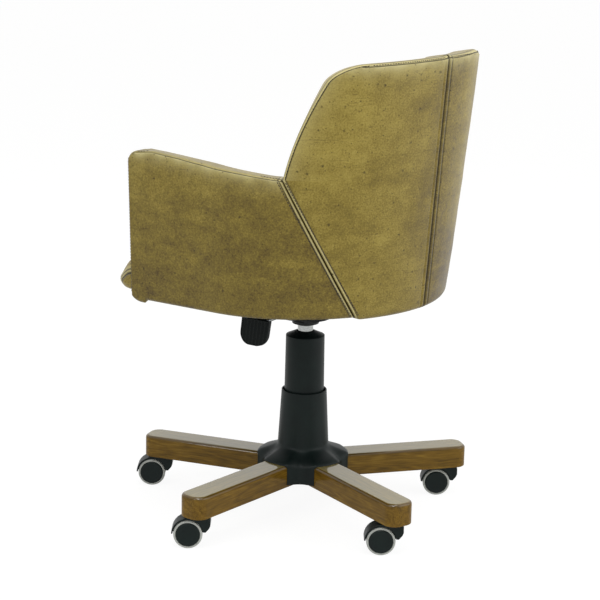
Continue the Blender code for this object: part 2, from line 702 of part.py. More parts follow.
def housing_mesh():
    cone_top = BOSS_BOTTOM + BOSS_CONE
    floor = HOUSING_BOTTOM + HOUSING_WALL / 2
    boss = revolve("boss", [
        (0, BOSS_BOTTOM), (BOSS_TOE_RADIUS, BOSS_BOTTOM), (BOSS_RADIUS, cone_top), (BOSS_RADIUS, floor),
        (SOCKET_RADIUS, floor), (SOCKET_RADIUS, SOCKET_TOP), (0, SOCKET_TOP),
    ])
    slope = (CYLINDER_RADIUS - TAPER_TOP_RADIUS) / (CYLINDER_TOP - TAPER_START)
    wide = CYLINDER_RADIUS + GAP
    below = BOSS_BOTTOM - CUT_PAST
    above = CYLINDER_TOP + CUT_PAST
    bore = revolve("taper bore", [
        (0, below), (wide, below), (wide, TAPER_START),
        (wide - slope * (above - TAPER_START), above), (0, above),
    ])
    lever_hole = moved(
        rod("lever hole", LEVER_RADIUS + 2 * GAP, LEVER_X - CUT_PAST, LEVER_X + CUT_PAST, 16, "X"),
        Matrix.Translation((0, LEVER_Y, LEVER_Z)))
    bolt_hole = moved(
        rod("bolt hole", BOLT_RADIUS + GAP, HOUSING_BOTTOM - CUT_PAST, HOUSING_BOTTOM + CUT_PAST, 16),
        Matrix.Translation((0, SPRING_Y, 0)))
    return carve("tilt_housing", tray("tray", 0), [
        ("DIFFERENCE", tray("hollow", HOUSING_WALL)), ("UNION", boss), ("DIFFERENCE", bore),
        ("DIFFERENCE", pin_hole()), ("DIFFERENCE", lever_hole), ("DIFFERENCE", bolt_hole),
    ])


def bracket_mesh():
    """Seat plate with an ear down each side of the housing."""
    half = BRACKET_HALF_WIDTH
    inner = HOUSING_HALF_WIDTH + EAR_GAP
    low = BRACKET_TOP - BRACKET_WALL
    plate = box("plate", (-half, BRACKET_FRONT, low), (half, BRACKET_REAR, BRACKET_TOP))
    tools = []
    for way in (-1, 1):
        near, far = sorted((way * inner, way * (inner + EAR_WALL)))
        ear = box("ear", (near, PIVOT_Y - EAR_HALF_LENGTH, PIVOT_Z - EAR_DROP),
                  (far, PIVOT_Y + EAR_HALF_LENGTH, BRACKET_TOP))
        tools.append(("UNION", ear))
    return carve("seat_bracket", plate, tools + [("DIFFERENCE", pin_hole())])


def spring_curve():
    """Round-wire compression spring on the tension bolt."""
    low = HOUSING_BOTTOM + HOUSING_WALL + GAP + SPRING_WIRE
    count = SPRING_TURNS * 8
    data = bpy.data.curves.new("tension_spring", "CURVE")
    data.dimensions = "3D"
    data.bevel_depth = SPRING_WIRE
    data.bevel_resolution = 1
    data.use_fill_caps = True
    line = data.splines.new("POLY")
    line.points.add(count)
    for i, point in enumerate(line.points):
        angle = math.tau * SPRING_TURNS * i / count
        height = low + (SPRING_TOP - low) * i / count
        point.co = (SPRING_RADIUS * math.cos(angle), SPRING_Y + SPRING_RADIUS * math.sin(angle), height, 1)
    return data


def knob_mesh():
    """Lobed knob with its tension bolt, turned about the spring's axis."""
    top = HOUSING_BOTTOM - KNOB_CLEARANCE
    head = SPRING_TOP + SPRING_WIRE + GAP
    count = KNOB_LOBES * 6
    outline = []
    for i in range(count):
        angle = math.tau * i / count
        radius = KNOB_RADIUS + KNOB_LOBE * math.cos(KNOB_LOBES * angle)
        outline.append((radius * math.cos(angle), radius * math.sin(angle)))
    knob = prism("knob", outline, top - KNOB_HEIGHT, top, smooth_angle=20)
    bolt = revolve("bolt", [
        (0, top - KNOB_HEIGHT / 2), (BOLT_RADIUS, top - KNOB_HEIGHT / 2), (BOLT_RADIUS, head),
        (BOLT_HEAD_RADIUS, head), (BOLT_HEAD_RADIUS, head + BOLT_HEAD), (0, head + BOLT_HEAD),
    ], 16)
    return moved(carve("tension_knob", knob, [("UNION", bolt)], 20), Matrix.Translation((0, SPRING_Y, 0)))


def lever_rod_curve():
    """Bent rod from above the valve button, through the housing wall, out to the paddle."""
    button_top = CYLINDER_TOP + VALVE_PROUD
    tip_z = button_top + GAP + LEVER_RADIUS
    upper, lower = LEVER_BENDS
    route = [
        Vector((LEVER_TIP, 0, tip_z)), Vector((upper, 0, tip_z)), Vector((lower, LEVER_Y, LEVER_Z)),
        Vector((LEVER_X, LEVER_Y, LEVER_Z)), Vector((LEVER_REACH, LEVER_Y, LEVER_Z)),
    ]
    data = bpy.data.curves.new("lever_rod", "CURVE")
    data.dimensions = "3D"
    data.bevel_depth = LEVER_RADIUS
    data.bevel_resolution = 2
    data.use_fill_caps = True
    points = [route[0]]
    for before, corner, after in zip(route, route[1:], route[2:]):
        enter = corner + (before - corner).normalized() * min(LEVER_BEND_RADIUS, (before - corner).length / 2)
        leave = corner + (after - corner).normalized() * min(LEVER_BEND_RADIUS, (after - corner).length / 2)
        for i in range(4):
            t = i / 3
            points.append(enter * (1 - t) ** 2 + corner * 2 * t * (1 - t) + leave * t * t)
    points.append(route[-1])
    line = data.splines.new("POLY")
    line.points.add(len(points) - 1)
    for spot, place in zip(line.points, points):
        spot.co = (*place, 1)
    return data


def paddle_mesh():
    """Fluted grip plate that hangs from the lever rod's end."""
    top = Vector((PADDLE_TOP[0], LEVER_Y, PADDLE_TOP[1]))
    foot = Vector((PADDLE_FOOT[0], LEVER_Y, PADDLE_FOOT[1]))
    length = (foot - top).length
    down = (foot - top).normalized()
    out = Vector((-down.z, 0, down.x))
    half = PADDLE_THICKNESS / 2
    face = []
    per_flute = 4
    count = PADDLE_FLUTES * per_flute
    for i in range(count + 1):
        across = PADDLE_HALF_WIDTH * (1 - 2 * i / count)
        dip = PADDLE_FLUTE_DEPTH * (0.5 - 0.5 * math.cos(math.tau * i / per_flute))
        face.append((across, half - dip))
    section = [(-PADDLE_HALF_WIDTH, -half), (PADDLE_HALF_WIDTH, -half)] + face
    plate = prism("fluted plate", section, -CUT_PAST, length + CUT_PAST, smooth_angle=20)
    corner = PADDLE_CORNER
    foot_half = PADDLE_FOOT_HALF_WIDTH
    top_half = PADDLE_HALF_WIDTH + EDGE_BREAK
    outline = [(-top_half, 0), (top_half, 0)]
    outline += arc((foot_half - corner, length - corner), corner, 0, 90, 8)
    outline += arc((corner - foot_half, length - corner), corner, 90, 180, 8)
    stencil = prism("stencil", outline, -CUT_PAST, CUT_PAST, "Y")
    frame = Matrix((
        (0, out.x, down.x, top.x), (1, out.y, down.y, top.y), (0, out.z, down.z, top.z), (0, 0, 0, 1),
    ))
    grip = carve("grip", plate, [("INTERSECT", stencil)], 20)
    moved(grip, frame)
    on_rod = Matrix.Translation((0, LEVER_Y, LEVER_Z))
    inner = LEVER_REACH - PADDLE_BOSS
    boss = moved(rod("boss", PADDLE_BOSS_RADIUS, inner, LEVER_REACH + PADDLE_BOSS_CAP, 16, "X"), on_rod)
    hole = moved(rod("rod hole", LEVER_RADIUS + GAP, inner - CUT_PAST, LEVER_REACH + GAP, 16, "X"), on_rod)
    return carve("lever_paddle", grip, [("UNION", boss), ("DIFFERENCE", hole)], 20)


def build_mechanism(lift):
    add("tilt_housing", housing_mesh(), steel(), lift)
    pin = moved(rod("tilt_pin", PIN_RADIUS, -PIN_HALF_LENGTH, PIN_HALF_LENGTH, 20, "X"),
                Matrix.Translation((0, PIVOT_Y, PIVOT_Z)))
    add("tilt_pin", pin, bright_steel(), lift)
    add("tension_spring", spring_curve(), bright_steel(), lift)
    knob_axis = axis_empty("tension_axis", (0, SPRING_Y, HOUSING_BOTTOM), lift)
    add("tension_knob", knob_mesh(), black_nylon(), knob_axis)
    lever_axis = axis_empty("lever_axis", (LEVER_X, LEVER_Y, LEVER_Z), lift)
    add("lever_rod", lever_rod_curve(), steel(), lever_axis)
    add("lever_paddle", paddle_mesh(), black_nylon(), lever_axis)


# Upholstered shell. A place on it is (turn, height, depth). Turn is in degrees round the curved back, 0 at
# the side and 90 at the centre line, or metres of Y where it is negative. Depth runs in from the outer face


def plan_sizes(height):
    rise = height - SHELL_BOTTOM
    share = rise / (RIM_HEIGHT - SHELL_BOTTOM)
    return (PLAN_HALF_WIDTH + PLAN_HALF_WIDTH_GROWTH * rise, PLAN_BACK + PLAN_BACK_GROWTH * rise,
            PLAN_SQUARENESS + PLAN_SQUARENESS_GROWTH * share)


def shell_point(turn, height, depth):
    half, back, power = plan_sizes(height)
    if turn <= 0:
        return Vector((half - depth, turn, height))
    c = math.cos(math.radians(min(turn, 90)))
    s = math.sin(math.radians(min(turn, 90)))
    x = half * max(c, 0.0) ** (2 / power)
    y = back * s ** (2 / power)
    normal = Vector((x ** (power - 1) / half ** power, y ** (power - 1) / back ** power)).normalized()
    if turn >= 90:
        normal = Vector((0, 1))
        x = 0.0
    return Vector((x - normal.x * depth, y - normal.y * depth, height))


def seam_turn(height):
    """The slanting seam between arm and back, from the notch down to the bottom edge."""
    share = (NOTCH_HEIGHT - height) / (NOTCH_HEIGHT - SHELL_BOTTOM)
    return NOTCH_ANGLE + (SEAM_FOOT_ANGLE - NOTCH_ANGLE) * share


def free_edge_turn(height):
    """Lean and curve of the back's free edge above the notch."""
    share = (height - NOTCH_HEIGHT) / (EDGE_TOP_HEIGHT - NOTCH_HEIGHT)
    return NOTCH_ANGLE + EDGE_LEAN * share + EDGE_CURVE * share * share


def back_edge_turn(height):
    """Side boundary of the back: the seam, then the free edge above the notch and the rounded top corner."""
    if height <= NOTCH_HEIGHT:
        return seam_turn(height)
    turn = free_edge_turn(height)
    if height > EDGE_TOP_HEIGHT:
        share = min(1.0, (height - EDGE_TOP_HEIGHT) / (RIM_END_HEIGHT - EDGE_TOP_HEIGHT))
        swing = CORNER_ANGLE - free_edge_turn(RIM_END_HEIGHT)
        turn += swing * (1 - math.sqrt(1 - share * share))
    return turn


def rim_height(turn):
    share = min(1.0, (90 - turn) / (90 - CORNER_ANGLE))
    return RIM_HEIGHT - (RIM_HEIGHT - RIM_END_HEIGHT) * share * share


def arm_front_y(height):
    low = ARM_TOP_FRONT - ARM_FRONT_CORNER
    if height <= low:
        return ARM_FRONT
    share = min(1.0, (height - low) / ARM_FRONT_CORNER)
    return ARM_FRONT + ARM_FRONT_CORNER * (1 - math.sqrt(1 - share * share))


def arc_scale():
    """Metres along the outline for a degree of turn."""
    return math.radians(1) * (PLAN_HALF_WIDTH + PLAN_BACK) / 2


def arm_top(along):
    """Height of the arm's top edge at a distance along the outline."""
    start = ARM_FRONT + ARM_FRONT_CORNER
    end = NOTCH_ANGLE * arc_scale()
    return ARM_TOP_FRONT + (NOTCH_HEIGHT - ARM_TOP_FRONT) * (min(along, end) - start) / (end - start)


def spread(low, high, low_round, high_round, count):
    """Places from low to high with two extra lines inside each rounded edge."""
    places = [low, low + 0.29 * low_round, low + low_round]
    start, stop = low + low_round, high - high_round
    places += [start + (stop - start) * i / count for i in range(1, count)]
    return places + [high - high_round, high - 0.29 * high_round, high]


def edge_drop(distance, radius):
    if distance >= radius:
        return 0.0
    return radius - math.sqrt(max(0.0, radius ** 2 - (radius - distance) ** 2))


def slab(name, rows):
    """Closed solid from rows of (outer point, inner point) pairs, its twisted quads split all one way."""
    bm = bmesh.new()

    def quad(a, b, c, d):
        bm.faces.new((a, b, c))
        bm.faces.new((a, c, d))

    outer = [[bm.verts.new(pair[0]) for pair in row] for row in rows]
    inner = [[bm.verts.new(pair[1]) for pair in row] for row in rows]
    for grid in (outer, inner):
        for low, high in zip(grid, grid[1:]):
            for i in range(len(low) - 1):
                quad(low[i], low[i + 1], high[i + 1], high[i])

    def border(grid):
        ring = list(grid[0]) + [row[-1] for row in grid[1:-1]]
        return ring + list(reversed(grid[-1])) + [row[0] for row in reversed(grid[1:-1])]

    outside, inside = border(outer), border(inner)
    for i in range(len(outside)):
        j = (i + 1) % len(outside)
        ring = [outside[i], outside[j], inside[j], inside[i]]
        if ring[0].co.z > ring[1].co.z:
            ring = ring[1:] + ring[:1]
        quad(*ring)
    return to_mesh(bm, name, 50)


def turn_at(along):
    return along if along <= 0 else along / arc_scale()


def seam_shares():
    """Heights along the seam as shares of it, the same for the arm and the back so that their faces match."""
    tall = NOTCH_HEIGHT - SHELL_BOTTOM
    corner = [tall - ARM_FRONT_CORNER * share for share in ARM_CORNER_LEVELS]
    places = spread(0, tall, SEAM_ROUND, FREE_EDGE_ROUND, 3) + corner
    return [place / tall for place in sorted(places)]


def arm_rows(margin, near, far, rounded, columns=8):
    """Left arm between two depths. margin keeps clear of its free edges and seam."""
    free = FREE_EDGE_ROUND if rounded else 0.0
    seam = SEAM_ROUND if rounded else 0.0
    low = SHELL_BOTTOM
    made = []
    top = ARM_TOP_FRONT - margin
    for share in seam_shares():
        level = low + share * (top - low)
        start = arm_front_y(min(level + margin, ARM_TOP_FRONT)) + margin
        slope_level = low + share * (NOTCH_HEIGHT - margin - low)
        end = seam_turn(slope_level) * arc_scale() - max(margin, GAP / 2)
        row = []
        for along in spread(start, end, free, seam, columns):
            height = low + share * (arm_top(along) - margin - low)
            drop = max(edge_drop(along - start, free), edge_drop(end - along, seam),
                       edge_drop(level - low, seam), edge_drop(top - level, free))
            turn = turn_at(along)
            row.append((shell_point(turn, height, near + drop), shell_point(turn, height, far - drop)))
        made.append(row)
    return made


def back_rows(margin, near, far, rounded, columns=6):
    """Left half of the back between two depths, up to the centre line."""
    free = FREE_EDGE_ROUND if rounded else 0.0
    seam = SEAM_ROUND if rounded else 0.0
    low = SHELL_BOTTOM
    top = RIM_END_HEIGHT - margin
    levels = [low + (NOTCH_HEIGHT - low) * share for share in seam_shares()]
    edge_top = EDGE_TOP_HEIGHT - margin
    levels += [NOTCH_HEIGHT + (edge_top - NOTCH_HEIGHT) * share for share in EDGE_LEVELS]
    levels += [edge_top + (top - edge_top) * share for share in CORNER_LEVELS]
    made = []
    for level in levels:
        share = (level - low) / (top - low)
        clear = margin / arc_scale() if margin else GAP / 2 / arc_scale()
        start = back_edge_turn(min(level + margin, RIM_END_HEIGHT)) + clear
        at_edge = free if level > NOTCH_HEIGHT else seam
        fall = RIM_FALL * max(0.0, level - NOTCH_HEIGHT) / (top - NOTCH_HEIGHT)
        start_along, end_along = start * arc_scale(), 90 * arc_scale()
        row = []
        for along in spread(start_along, end_along, at_edge, seam, columns):
            turn = along / arc_scale()
            height = low + share * (rim_height(turn) - margin - low)
            drop = max(edge_drop(along - start_along, at_edge), edge_drop(end_along - along, seam),
                       edge_drop(level - low, seam), edge_drop((1 - share) * (top - low), free))
            outer = shell_point(turn, height, near + drop)
            inner = shell_point(turn, height - fall, far - drop)
            row.append((outer, inner))
        made.append(row)
    return made


def run_out(rows):
    """Rows with one more under them, so that a cutter comes out through the bottom edge."""
    under = Vector((0, 0, -FRAME_MARGIN))
    return [[(a + under, b + under) for a, b in rows[0]]] + rows


def mirrored(rows):
    flip = Matrix.Diagonal((-1, 1, 1))
    return [[(flip @ a, flip @ b) for a, b in reversed(row)] for row in rows]


def off_centre(rows):
    """Half of the joint's gap taken off the end of each row that lies on the centre line."""
    for row in rows:
        for point in row[-1]:
            point.x = GAP / 2
    return rows


def both_sides(rows):
    """Rows over the whole back, from a left half that ends on the centre line."""
    return [row + other[1:] for row, other in zip(rows, mirrored(rows))]


def board_outline(ahead=0.0, around=0.0):
    """Seat board inside the frames, stepped in ahead of the arms, and grown ahead of them and around."""
    depth = FRAME_DEPTH + FRAME_WALL + SEAT_FIT - around
    half = BOARD_FRONT_HALF_WIDTH + ahead
    front = BOARD_FRONT - ahead
    side = [shell_point(turn, SHELL_BOTTOM, depth).xy for turn in range(0, 91, 6)]
    right = arc((half - BOARD_CORNER, front + BOARD_CORNER), BOARD_CORNER, -90, 0, 6)
    right += [(half, BOARD_STEP - ahead), (side[0].x, BOARD_STEP - ahead)] + [tuple(p) for p in side[:-1]]
    left = [(-x, y) for x, y in reversed(right)]
    return right + [tuple(side[-1])] + left


def cushion_outline(inset):
    """Cushion between the arms and the back, with round front corners."""
    depth = SHELL_THICKNESS + SEAT_FIT + inset
    half = PLAN_HALF_WIDTH - depth
    front = CUSHION_FRONT + inset
    corner = CUSHION_CORNER
    right = arc((half - corner, front + corner), corner, -90, 0, 5)
    right += [tuple(shell_point(turn, SHELL_BOTTOM, depth).xy) for turn in range(0, 90, 9)]
    left = [(-x, y) for x, y in reversed(right)]
    return right + [tuple(shell_point(90, SHELL_BOTTOM, depth).xy)] + left


def cushion_mesh():
    """Crowned cushion whose front roll comes down over the board's edge."""
    bm = bmesh.new()
    turns = [math.radians(angle) for angle in (0, 45, 90)]
    low = CUSHION_BOTTOM + CUSHION_LOWER_ROUND
    high = CUSHION_TOP - CUSHION_ROUND
    small, large = CUSHION_LOWER_ROUND, CUSHION_ROUND
    levels = [(low - small * math.cos(t), small * (1 - math.sin(t))) for t in turns]
    levels += [(high + large * math.sin(t), large * (1 - math.cos(t))) for t in turns]
    for rise, run in CROWN_STEPS:
        levels.append((CUSHION_TOP + CUSHION_CROWN * rise, CUSHION_ROUND + CUSHION_SLOPE * run))
    rings = [[bm.verts.new((x, y, height)) for x, y in cushion_outline(inset)] for height, inset in levels]
    for lower, upper in zip(rings, rings[1:]):
        for i in range(len(lower)):
            j = (i + 1) % len(lower)
            bm.faces.new((lower[i], lower[j], upper[j], upper[i]))
    bm.faces.new(rings[0])
    bm.faces.new(rings[-1])
    under = prism("under", board_outline(GAP, GAP), CUSHION_BOTTOM - CUT_PAST, BOARD_TOP + GAP)
    return carve("seat_cushion", to_mesh(bm, "cushion blank"), [("DIFFERENCE", under)], 50)


def build_upholstery(seat):
    frame_far = FRAME_DEPTH + FRAME_WALL
    pocket_near, pocket_far = FRAME_DEPTH - GAP, frame_far + GAP
    board_room = prism("board room", board_outline(GAP, GAP), SHELL_BOTTOM - CUT_PAST, BOARD_TOP + GAP)
    sides = (("left", lambda rows: rows), ("right", mirrored))
    for side, place in sides:
        frame = slab(f"arm_frame_{side}", place(arm_rows(FRAME_MARGIN, FRAME_DEPTH, frame_far, False)))
        add(f"arm_frame_{side}", frame, plywood(), seat)
        pocket = slab("pocket", place(run_out(arm_rows(FRAME_MARGIN - GAP, pocket_near, pocket_far, False))))
        pad = slab("pad", place(arm_rows(0, 0, SHELL_THICKNESS, True)))
        cuts = [("DIFFERENCE", pocket), ("DIFFERENCE", board_room.copy())]
        add(f"arm_{side}", carve(f"arm_{side}", pad, cuts, 50), leather(), seat)
    back = both_sides(back_rows(FRAME_MARGIN, FRAME_DEPTH, frame_far, False))
    add("back_frame", slab("back_frame", back), plywood(), seat)
    for side, place in sides:
        room = run_out(both_sides(back_rows(FRAME_MARGIN - GAP, pocket_near, pocket_far, False)))
        pad = slab("pad", place(off_centre(back_rows(0, 0, SHELL_THICKNESS, True))))
        cuts = [("DIFFERENCE", slab("pocket", room)), ("DIFFERENCE", board_room.copy())]
        add(f"back_{side}", carve(f"back_{side}", pad, cuts, 50), leather(), seat)
    add("seat_board", prism("seat_board", board_outline(), SHELL_BOTTOM, BOARD_TOP), plywood(), seat)
    cover = prism("dust_cover", board_outline(-DUST_COVER_INSET, FRAME_DEPTH + FRAME_WALL - DUST_COVER_INSET),
                  DUST_COVER_TOP - DUST_COVER, DUST_COVER_TOP)
    add("dust_cover", cover, black_cloth(), seat)
    add("seat_cushion", cushion_mesh(), leather(), seat)
    add("seat_bracket", bracket_mesh(), steel(), seat)


def build():
    for obj in list(bpy.data.objects):
        bpy.data.objects.remove(obj, do_unlink=True)
    lift = axis_empty("lift_axis", (0, 0, 0))
    tilt = axis_empty("tilt_axis", (0, PIVOT_Y, PIVOT_Z), lift)
    build_base()
    build_casters()
    build_column(lift)
    build_covers()
    build_mechanism(lift)
    build_upholstery(tilt)


build()
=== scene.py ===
from functools import partial
from math import atan, cos, exp, hypot, pi, radians, sin, sqrt, tau

import bmesh
import bpy
from mathutils import Matrix, Vector, noise
from mathutils.bvhtree import BVHTree


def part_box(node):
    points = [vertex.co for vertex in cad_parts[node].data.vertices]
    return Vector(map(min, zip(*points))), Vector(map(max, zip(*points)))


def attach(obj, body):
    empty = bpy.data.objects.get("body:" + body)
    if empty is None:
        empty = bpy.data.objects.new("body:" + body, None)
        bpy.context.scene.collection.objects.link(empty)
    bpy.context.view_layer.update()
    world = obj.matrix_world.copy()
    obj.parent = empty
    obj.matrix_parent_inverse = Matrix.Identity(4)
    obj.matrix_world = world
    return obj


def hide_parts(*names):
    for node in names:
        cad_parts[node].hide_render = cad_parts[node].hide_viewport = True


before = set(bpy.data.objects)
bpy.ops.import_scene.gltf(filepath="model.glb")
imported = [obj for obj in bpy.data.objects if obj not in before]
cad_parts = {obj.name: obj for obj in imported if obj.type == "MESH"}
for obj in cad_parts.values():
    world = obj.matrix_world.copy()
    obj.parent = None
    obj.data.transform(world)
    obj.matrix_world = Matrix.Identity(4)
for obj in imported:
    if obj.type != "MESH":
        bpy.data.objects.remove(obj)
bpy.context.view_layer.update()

print("frame loaded:", len(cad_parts), "nodes")


# small tools

def toLinear(hexColour):
    parts = [int(hexColour[i:i + 2], 16) / 255 for i in (1, 3, 5)]
    return tuple(c / 12.92 if c <= 0.04045 else ((c + 0.055) / 1.055) ** 2.4 for c in parts) + (1.0,)


def joinTo(node, links):
    for name, source in links.items():
        source = source.outputs[0] if isinstance(source, bpy.types.Node) else source
        node.id_data.links.new(source, node.inputs[name])


def addNode(tree, kind, settings=None, links=None):
    # kind may name an operation too, as in "Math ADD"
    kind, _, operation = kind.partition(" ")
    node = tree.nodes.new("ShaderNode" + kind)
    if operation:
        node.operation = operation
    for name, value in (settings or {}).items():
        if name == "stops":
            stops = node.color_ramp.elements
            while len(stops) < len(value):
                stops.new(1.0)
            for stop, (place, colour) in zip(stops, value):
                stop.position = place
                stop.color = toLinear(colour)
        elif isinstance(name, int) or name in node.inputs:
            node.inputs[name].default_value = value
        else:
            setattr(node, name, value)
    joinTo(node, links or {})
    return node


def startMaterial(name, settings):
    material = bpy.data.materials.new(name)
    material.use_nodes = True
    shader = material.node_tree.nodes["Principled BSDF"]
    for socket, value in settings.items():
        shader.inputs[socket].default_value = value
    return material, partial(addNode, material.node_tree), shader


def addObject(name, data):
    made = bpy.data.objects.new(name, data)
    bpy.context.scene.collection.objects.link(made)
    return made


def meshOf(name, bm):
    mesh = bpy.data.meshes.new(name)
    bm.to_mesh(mesh)
    bm.free()
    return mesh


def evaluatedMesh(obj):
    return bpy.data.meshes.new_from_object(obj.evaluated_get(bpy.context.evaluated_depsgraph_get()))


def mergeInto(bm, other):
    mesh = meshOf("part", other)
    bm.from_mesh(mesh)
    bpy.data.meshes.remove(mesh)


def solidCopy(node, merge=1e-6):
    bm = bmesh.new()
    bm.from_mesh(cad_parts[node].data)
    bmesh.ops.remove_doubles(bm, verts=bm.verts, dist=merge)
    return bm


def roundEdges(bm, edges, size, count, clamp=False):
    bmesh.ops.bevel(bm, geom=edges, offset=size, affect="EDGES", segments=count, profile=0.5, material=-1,
                    clamp_overlap=clamp)


def cutAlong(bm, place, way):
    bmesh.ops.bisect_plane(bm, geom=bm.verts[:] + bm.edges[:] + bm.faces[:], plane_co=place, plane_no=way)


def makePiece(name, bm, material, body, nodes=(), sharp=None, even=False):
    for face in bm.faces:
        face.smooth = True
    piece = addObject(name, meshOf(name, bm))
    if sharp:
        piece.data.set_sharp_from_angle(angle=radians(sharp))
    piece.data.materials.append(material)
    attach(piece, body)
    if nodes:
        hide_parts(*nodes)
    if even:
        piece.modifiers.new("evenShading", "WEIGHTED_NORMAL").keep_sharp = True
    return piece


def crowded(share, amount):
    return share - amount * sin(tau * share) / tau  # finer steps at both ends


def bell(distance, centre, width):
    return exp(-((distance - centre) / width) ** 2)


def lineAt(distance, line):
    amount, centre, width = line
    return amount * bell(distance, centre, width)


def ease(share):
    share = min(1.0, max(0.0, share))
    return share * share * (3 - 2 * share)


def quarterDrop(share):
    return 1 - sqrt(max(0.0, 1 - share * share))  # fall of a quarter circle, 0 to 1


def spun(profile, axis, steps, rounding):
    # lathe shape: (radius, place along the axis), each corner rounded, closed on itself
    corners = [Vector(corner) for corner in profile]
    outline = []
    for i, corner in enumerate(corners):
        before, after = corners[i - 1] - corner, corners[(i + 1) % len(corners)] - corner
        reach = min(rounding, before.length * 0.45, after.length * 0.45)
        if corner.x < 1e-6 or reach < 1e-6:
            outline.append(corner)
            continue
        enter, leave = corner + before.normalized() * reach, corner + after.normalized() * reach
        for t in (0.0, 0.25, 0.5, 0.75, 1.0):
            outline.append(enter * (1 - t) ** 2 + corner * 2 * t * (1 - t) + leave * t * t)
    bm = bmesh.new()
    line = [bm.verts.new((p.x, 0, p.y) if axis == "Z" else (p.x, p.y, 0)) for p in outline]
    edges = [bm.edges.new((a, b)) for a, b in zip(line, line[1:] + line[:1])]
    way = (0, 0, 1) if axis == "Z" else (0, 1, 0)
    bmesh.ops.spin(bm, geom=line + edges, cent=(0, 0, 0), axis=way, angle=tau, steps=steps, use_merge=True)
    joinDoubles(bm)
    return bm


def joinDoubles(bm):
    bmesh.ops.remove_doubles(bm, verts=bm.verts, dist=1e-6)
    bmesh.ops.dissolve_degenerate(bm, edges=bm.edges, dist=1e-7)
    bmesh.ops.recalc_face_normals(bm, faces=bm.faces)


def liftExtruded(bm, made, height):
    bmesh.ops.translate(bm, vec=(0, 0, height), verts=[v for v in made["geom"] if isinstance(v, bmesh.types.BMVert)])


def unitSlab(columns, rows, layers):
    bm = bmesh.new()
    bmesh.ops.create_grid(bm, x_segments=columns, y_segments=rows, size=0.5)
    bmesh.ops.translate(bm, vec=(0.5, 0.5, 0), verts=bm.verts)
    liftExtruded(bm, bmesh.ops.extrude_face_region(bm, geom=bm.faces[:], use_keep_orig=True), 1)
    upright = [e for e in bm.edges if abs(e.verts[0].co.z - e.verts[1].co.z) > 0.5]
    bmesh.ops.subdivide_edges(bm, edges=upright, cuts=layers - 1, use_grid_fill=True)
    return bm


def turnedBy(angle):
    return Matrix.Rotation(angle, 4, "Z")


# camera at the photograph's angle, long lens from behind the sitter's left

view = {"lens": 107.58, "sensor": 36, "place": (2.58207, 1.71552, 1.13740), "aim": (-0.8074, -0.5405, -0.2366),
        "roll": 0.0206}


def makeCamera():
    data = bpy.data.cameras.new("camera")
    data.lens = view["lens"]
    data.sensor_width = view["sensor"]
    camera = addObject("camera", data)
    ahead = Vector(view["aim"]).normalized()
    right = ahead.cross(Vector((0, 0, 1))).normalized()
    up = right.cross(ahead)
    c, s = cos(view["roll"]), sin(view["roll"])
    columns = (right * c + up * s, up * c - right * s, -ahead)
    rows = [[*(column[i] for column in columns), view["place"][i]] for i in range(3)]
    camera.matrix_world = Matrix(rows + [[0, 0, 0, 1]])
    bpy.context.scene.camera = camera


makeCamera()
bpy.context.scene.view_settings.view_transform = "Standard"
print("camera set")


# materials: sizes in metres, tones as hex colours

# highlightColour is the pale tone of the painted highlights and painted reflections on the cover
leatherLook = {
    "dark": "#4A390F", "mid": "#83712A", "light": "#AC9948", "mark": "#33270B", "shade": "#171005", "highlightColour": "#D8CD94",
    "layers": ((0.070, 3, 0.55, 0.60), (0.017, 4, 0.70, 0.64), (0.0030, 3, 0.75, 1.42)), "tone": (1.49, 2.45),
    "slant": (0, 0, radians(-36)), "drag": {"size": 0.024, "squeeze": 0.35, "weight": 0.50},
    "rag": {"size": 0.0035, "reach": 0.0055},
    "marks": ((0.0140, 0.04, 0.17, 0.70, 0.80), (0.0065, 0.05, 0.24, 0.78, 0.60), (0.075, 0.015, 0.080, 0.82, 0.70)),
    "crease": {"size": 0.020, "squeeze": 0.10, "half": 0.010, "depth": 0.60, "where": (0.47, 0.63)},
    "fleck": {"size": 0.0042, "from": (0.56, 0.71), "depth": 0.50, "where": (0.40, 0.62)},
    "rough": (0.36, 0.56), "pores": {"share": 0.6, "strength": 0.35, "height": 0.0012},
}


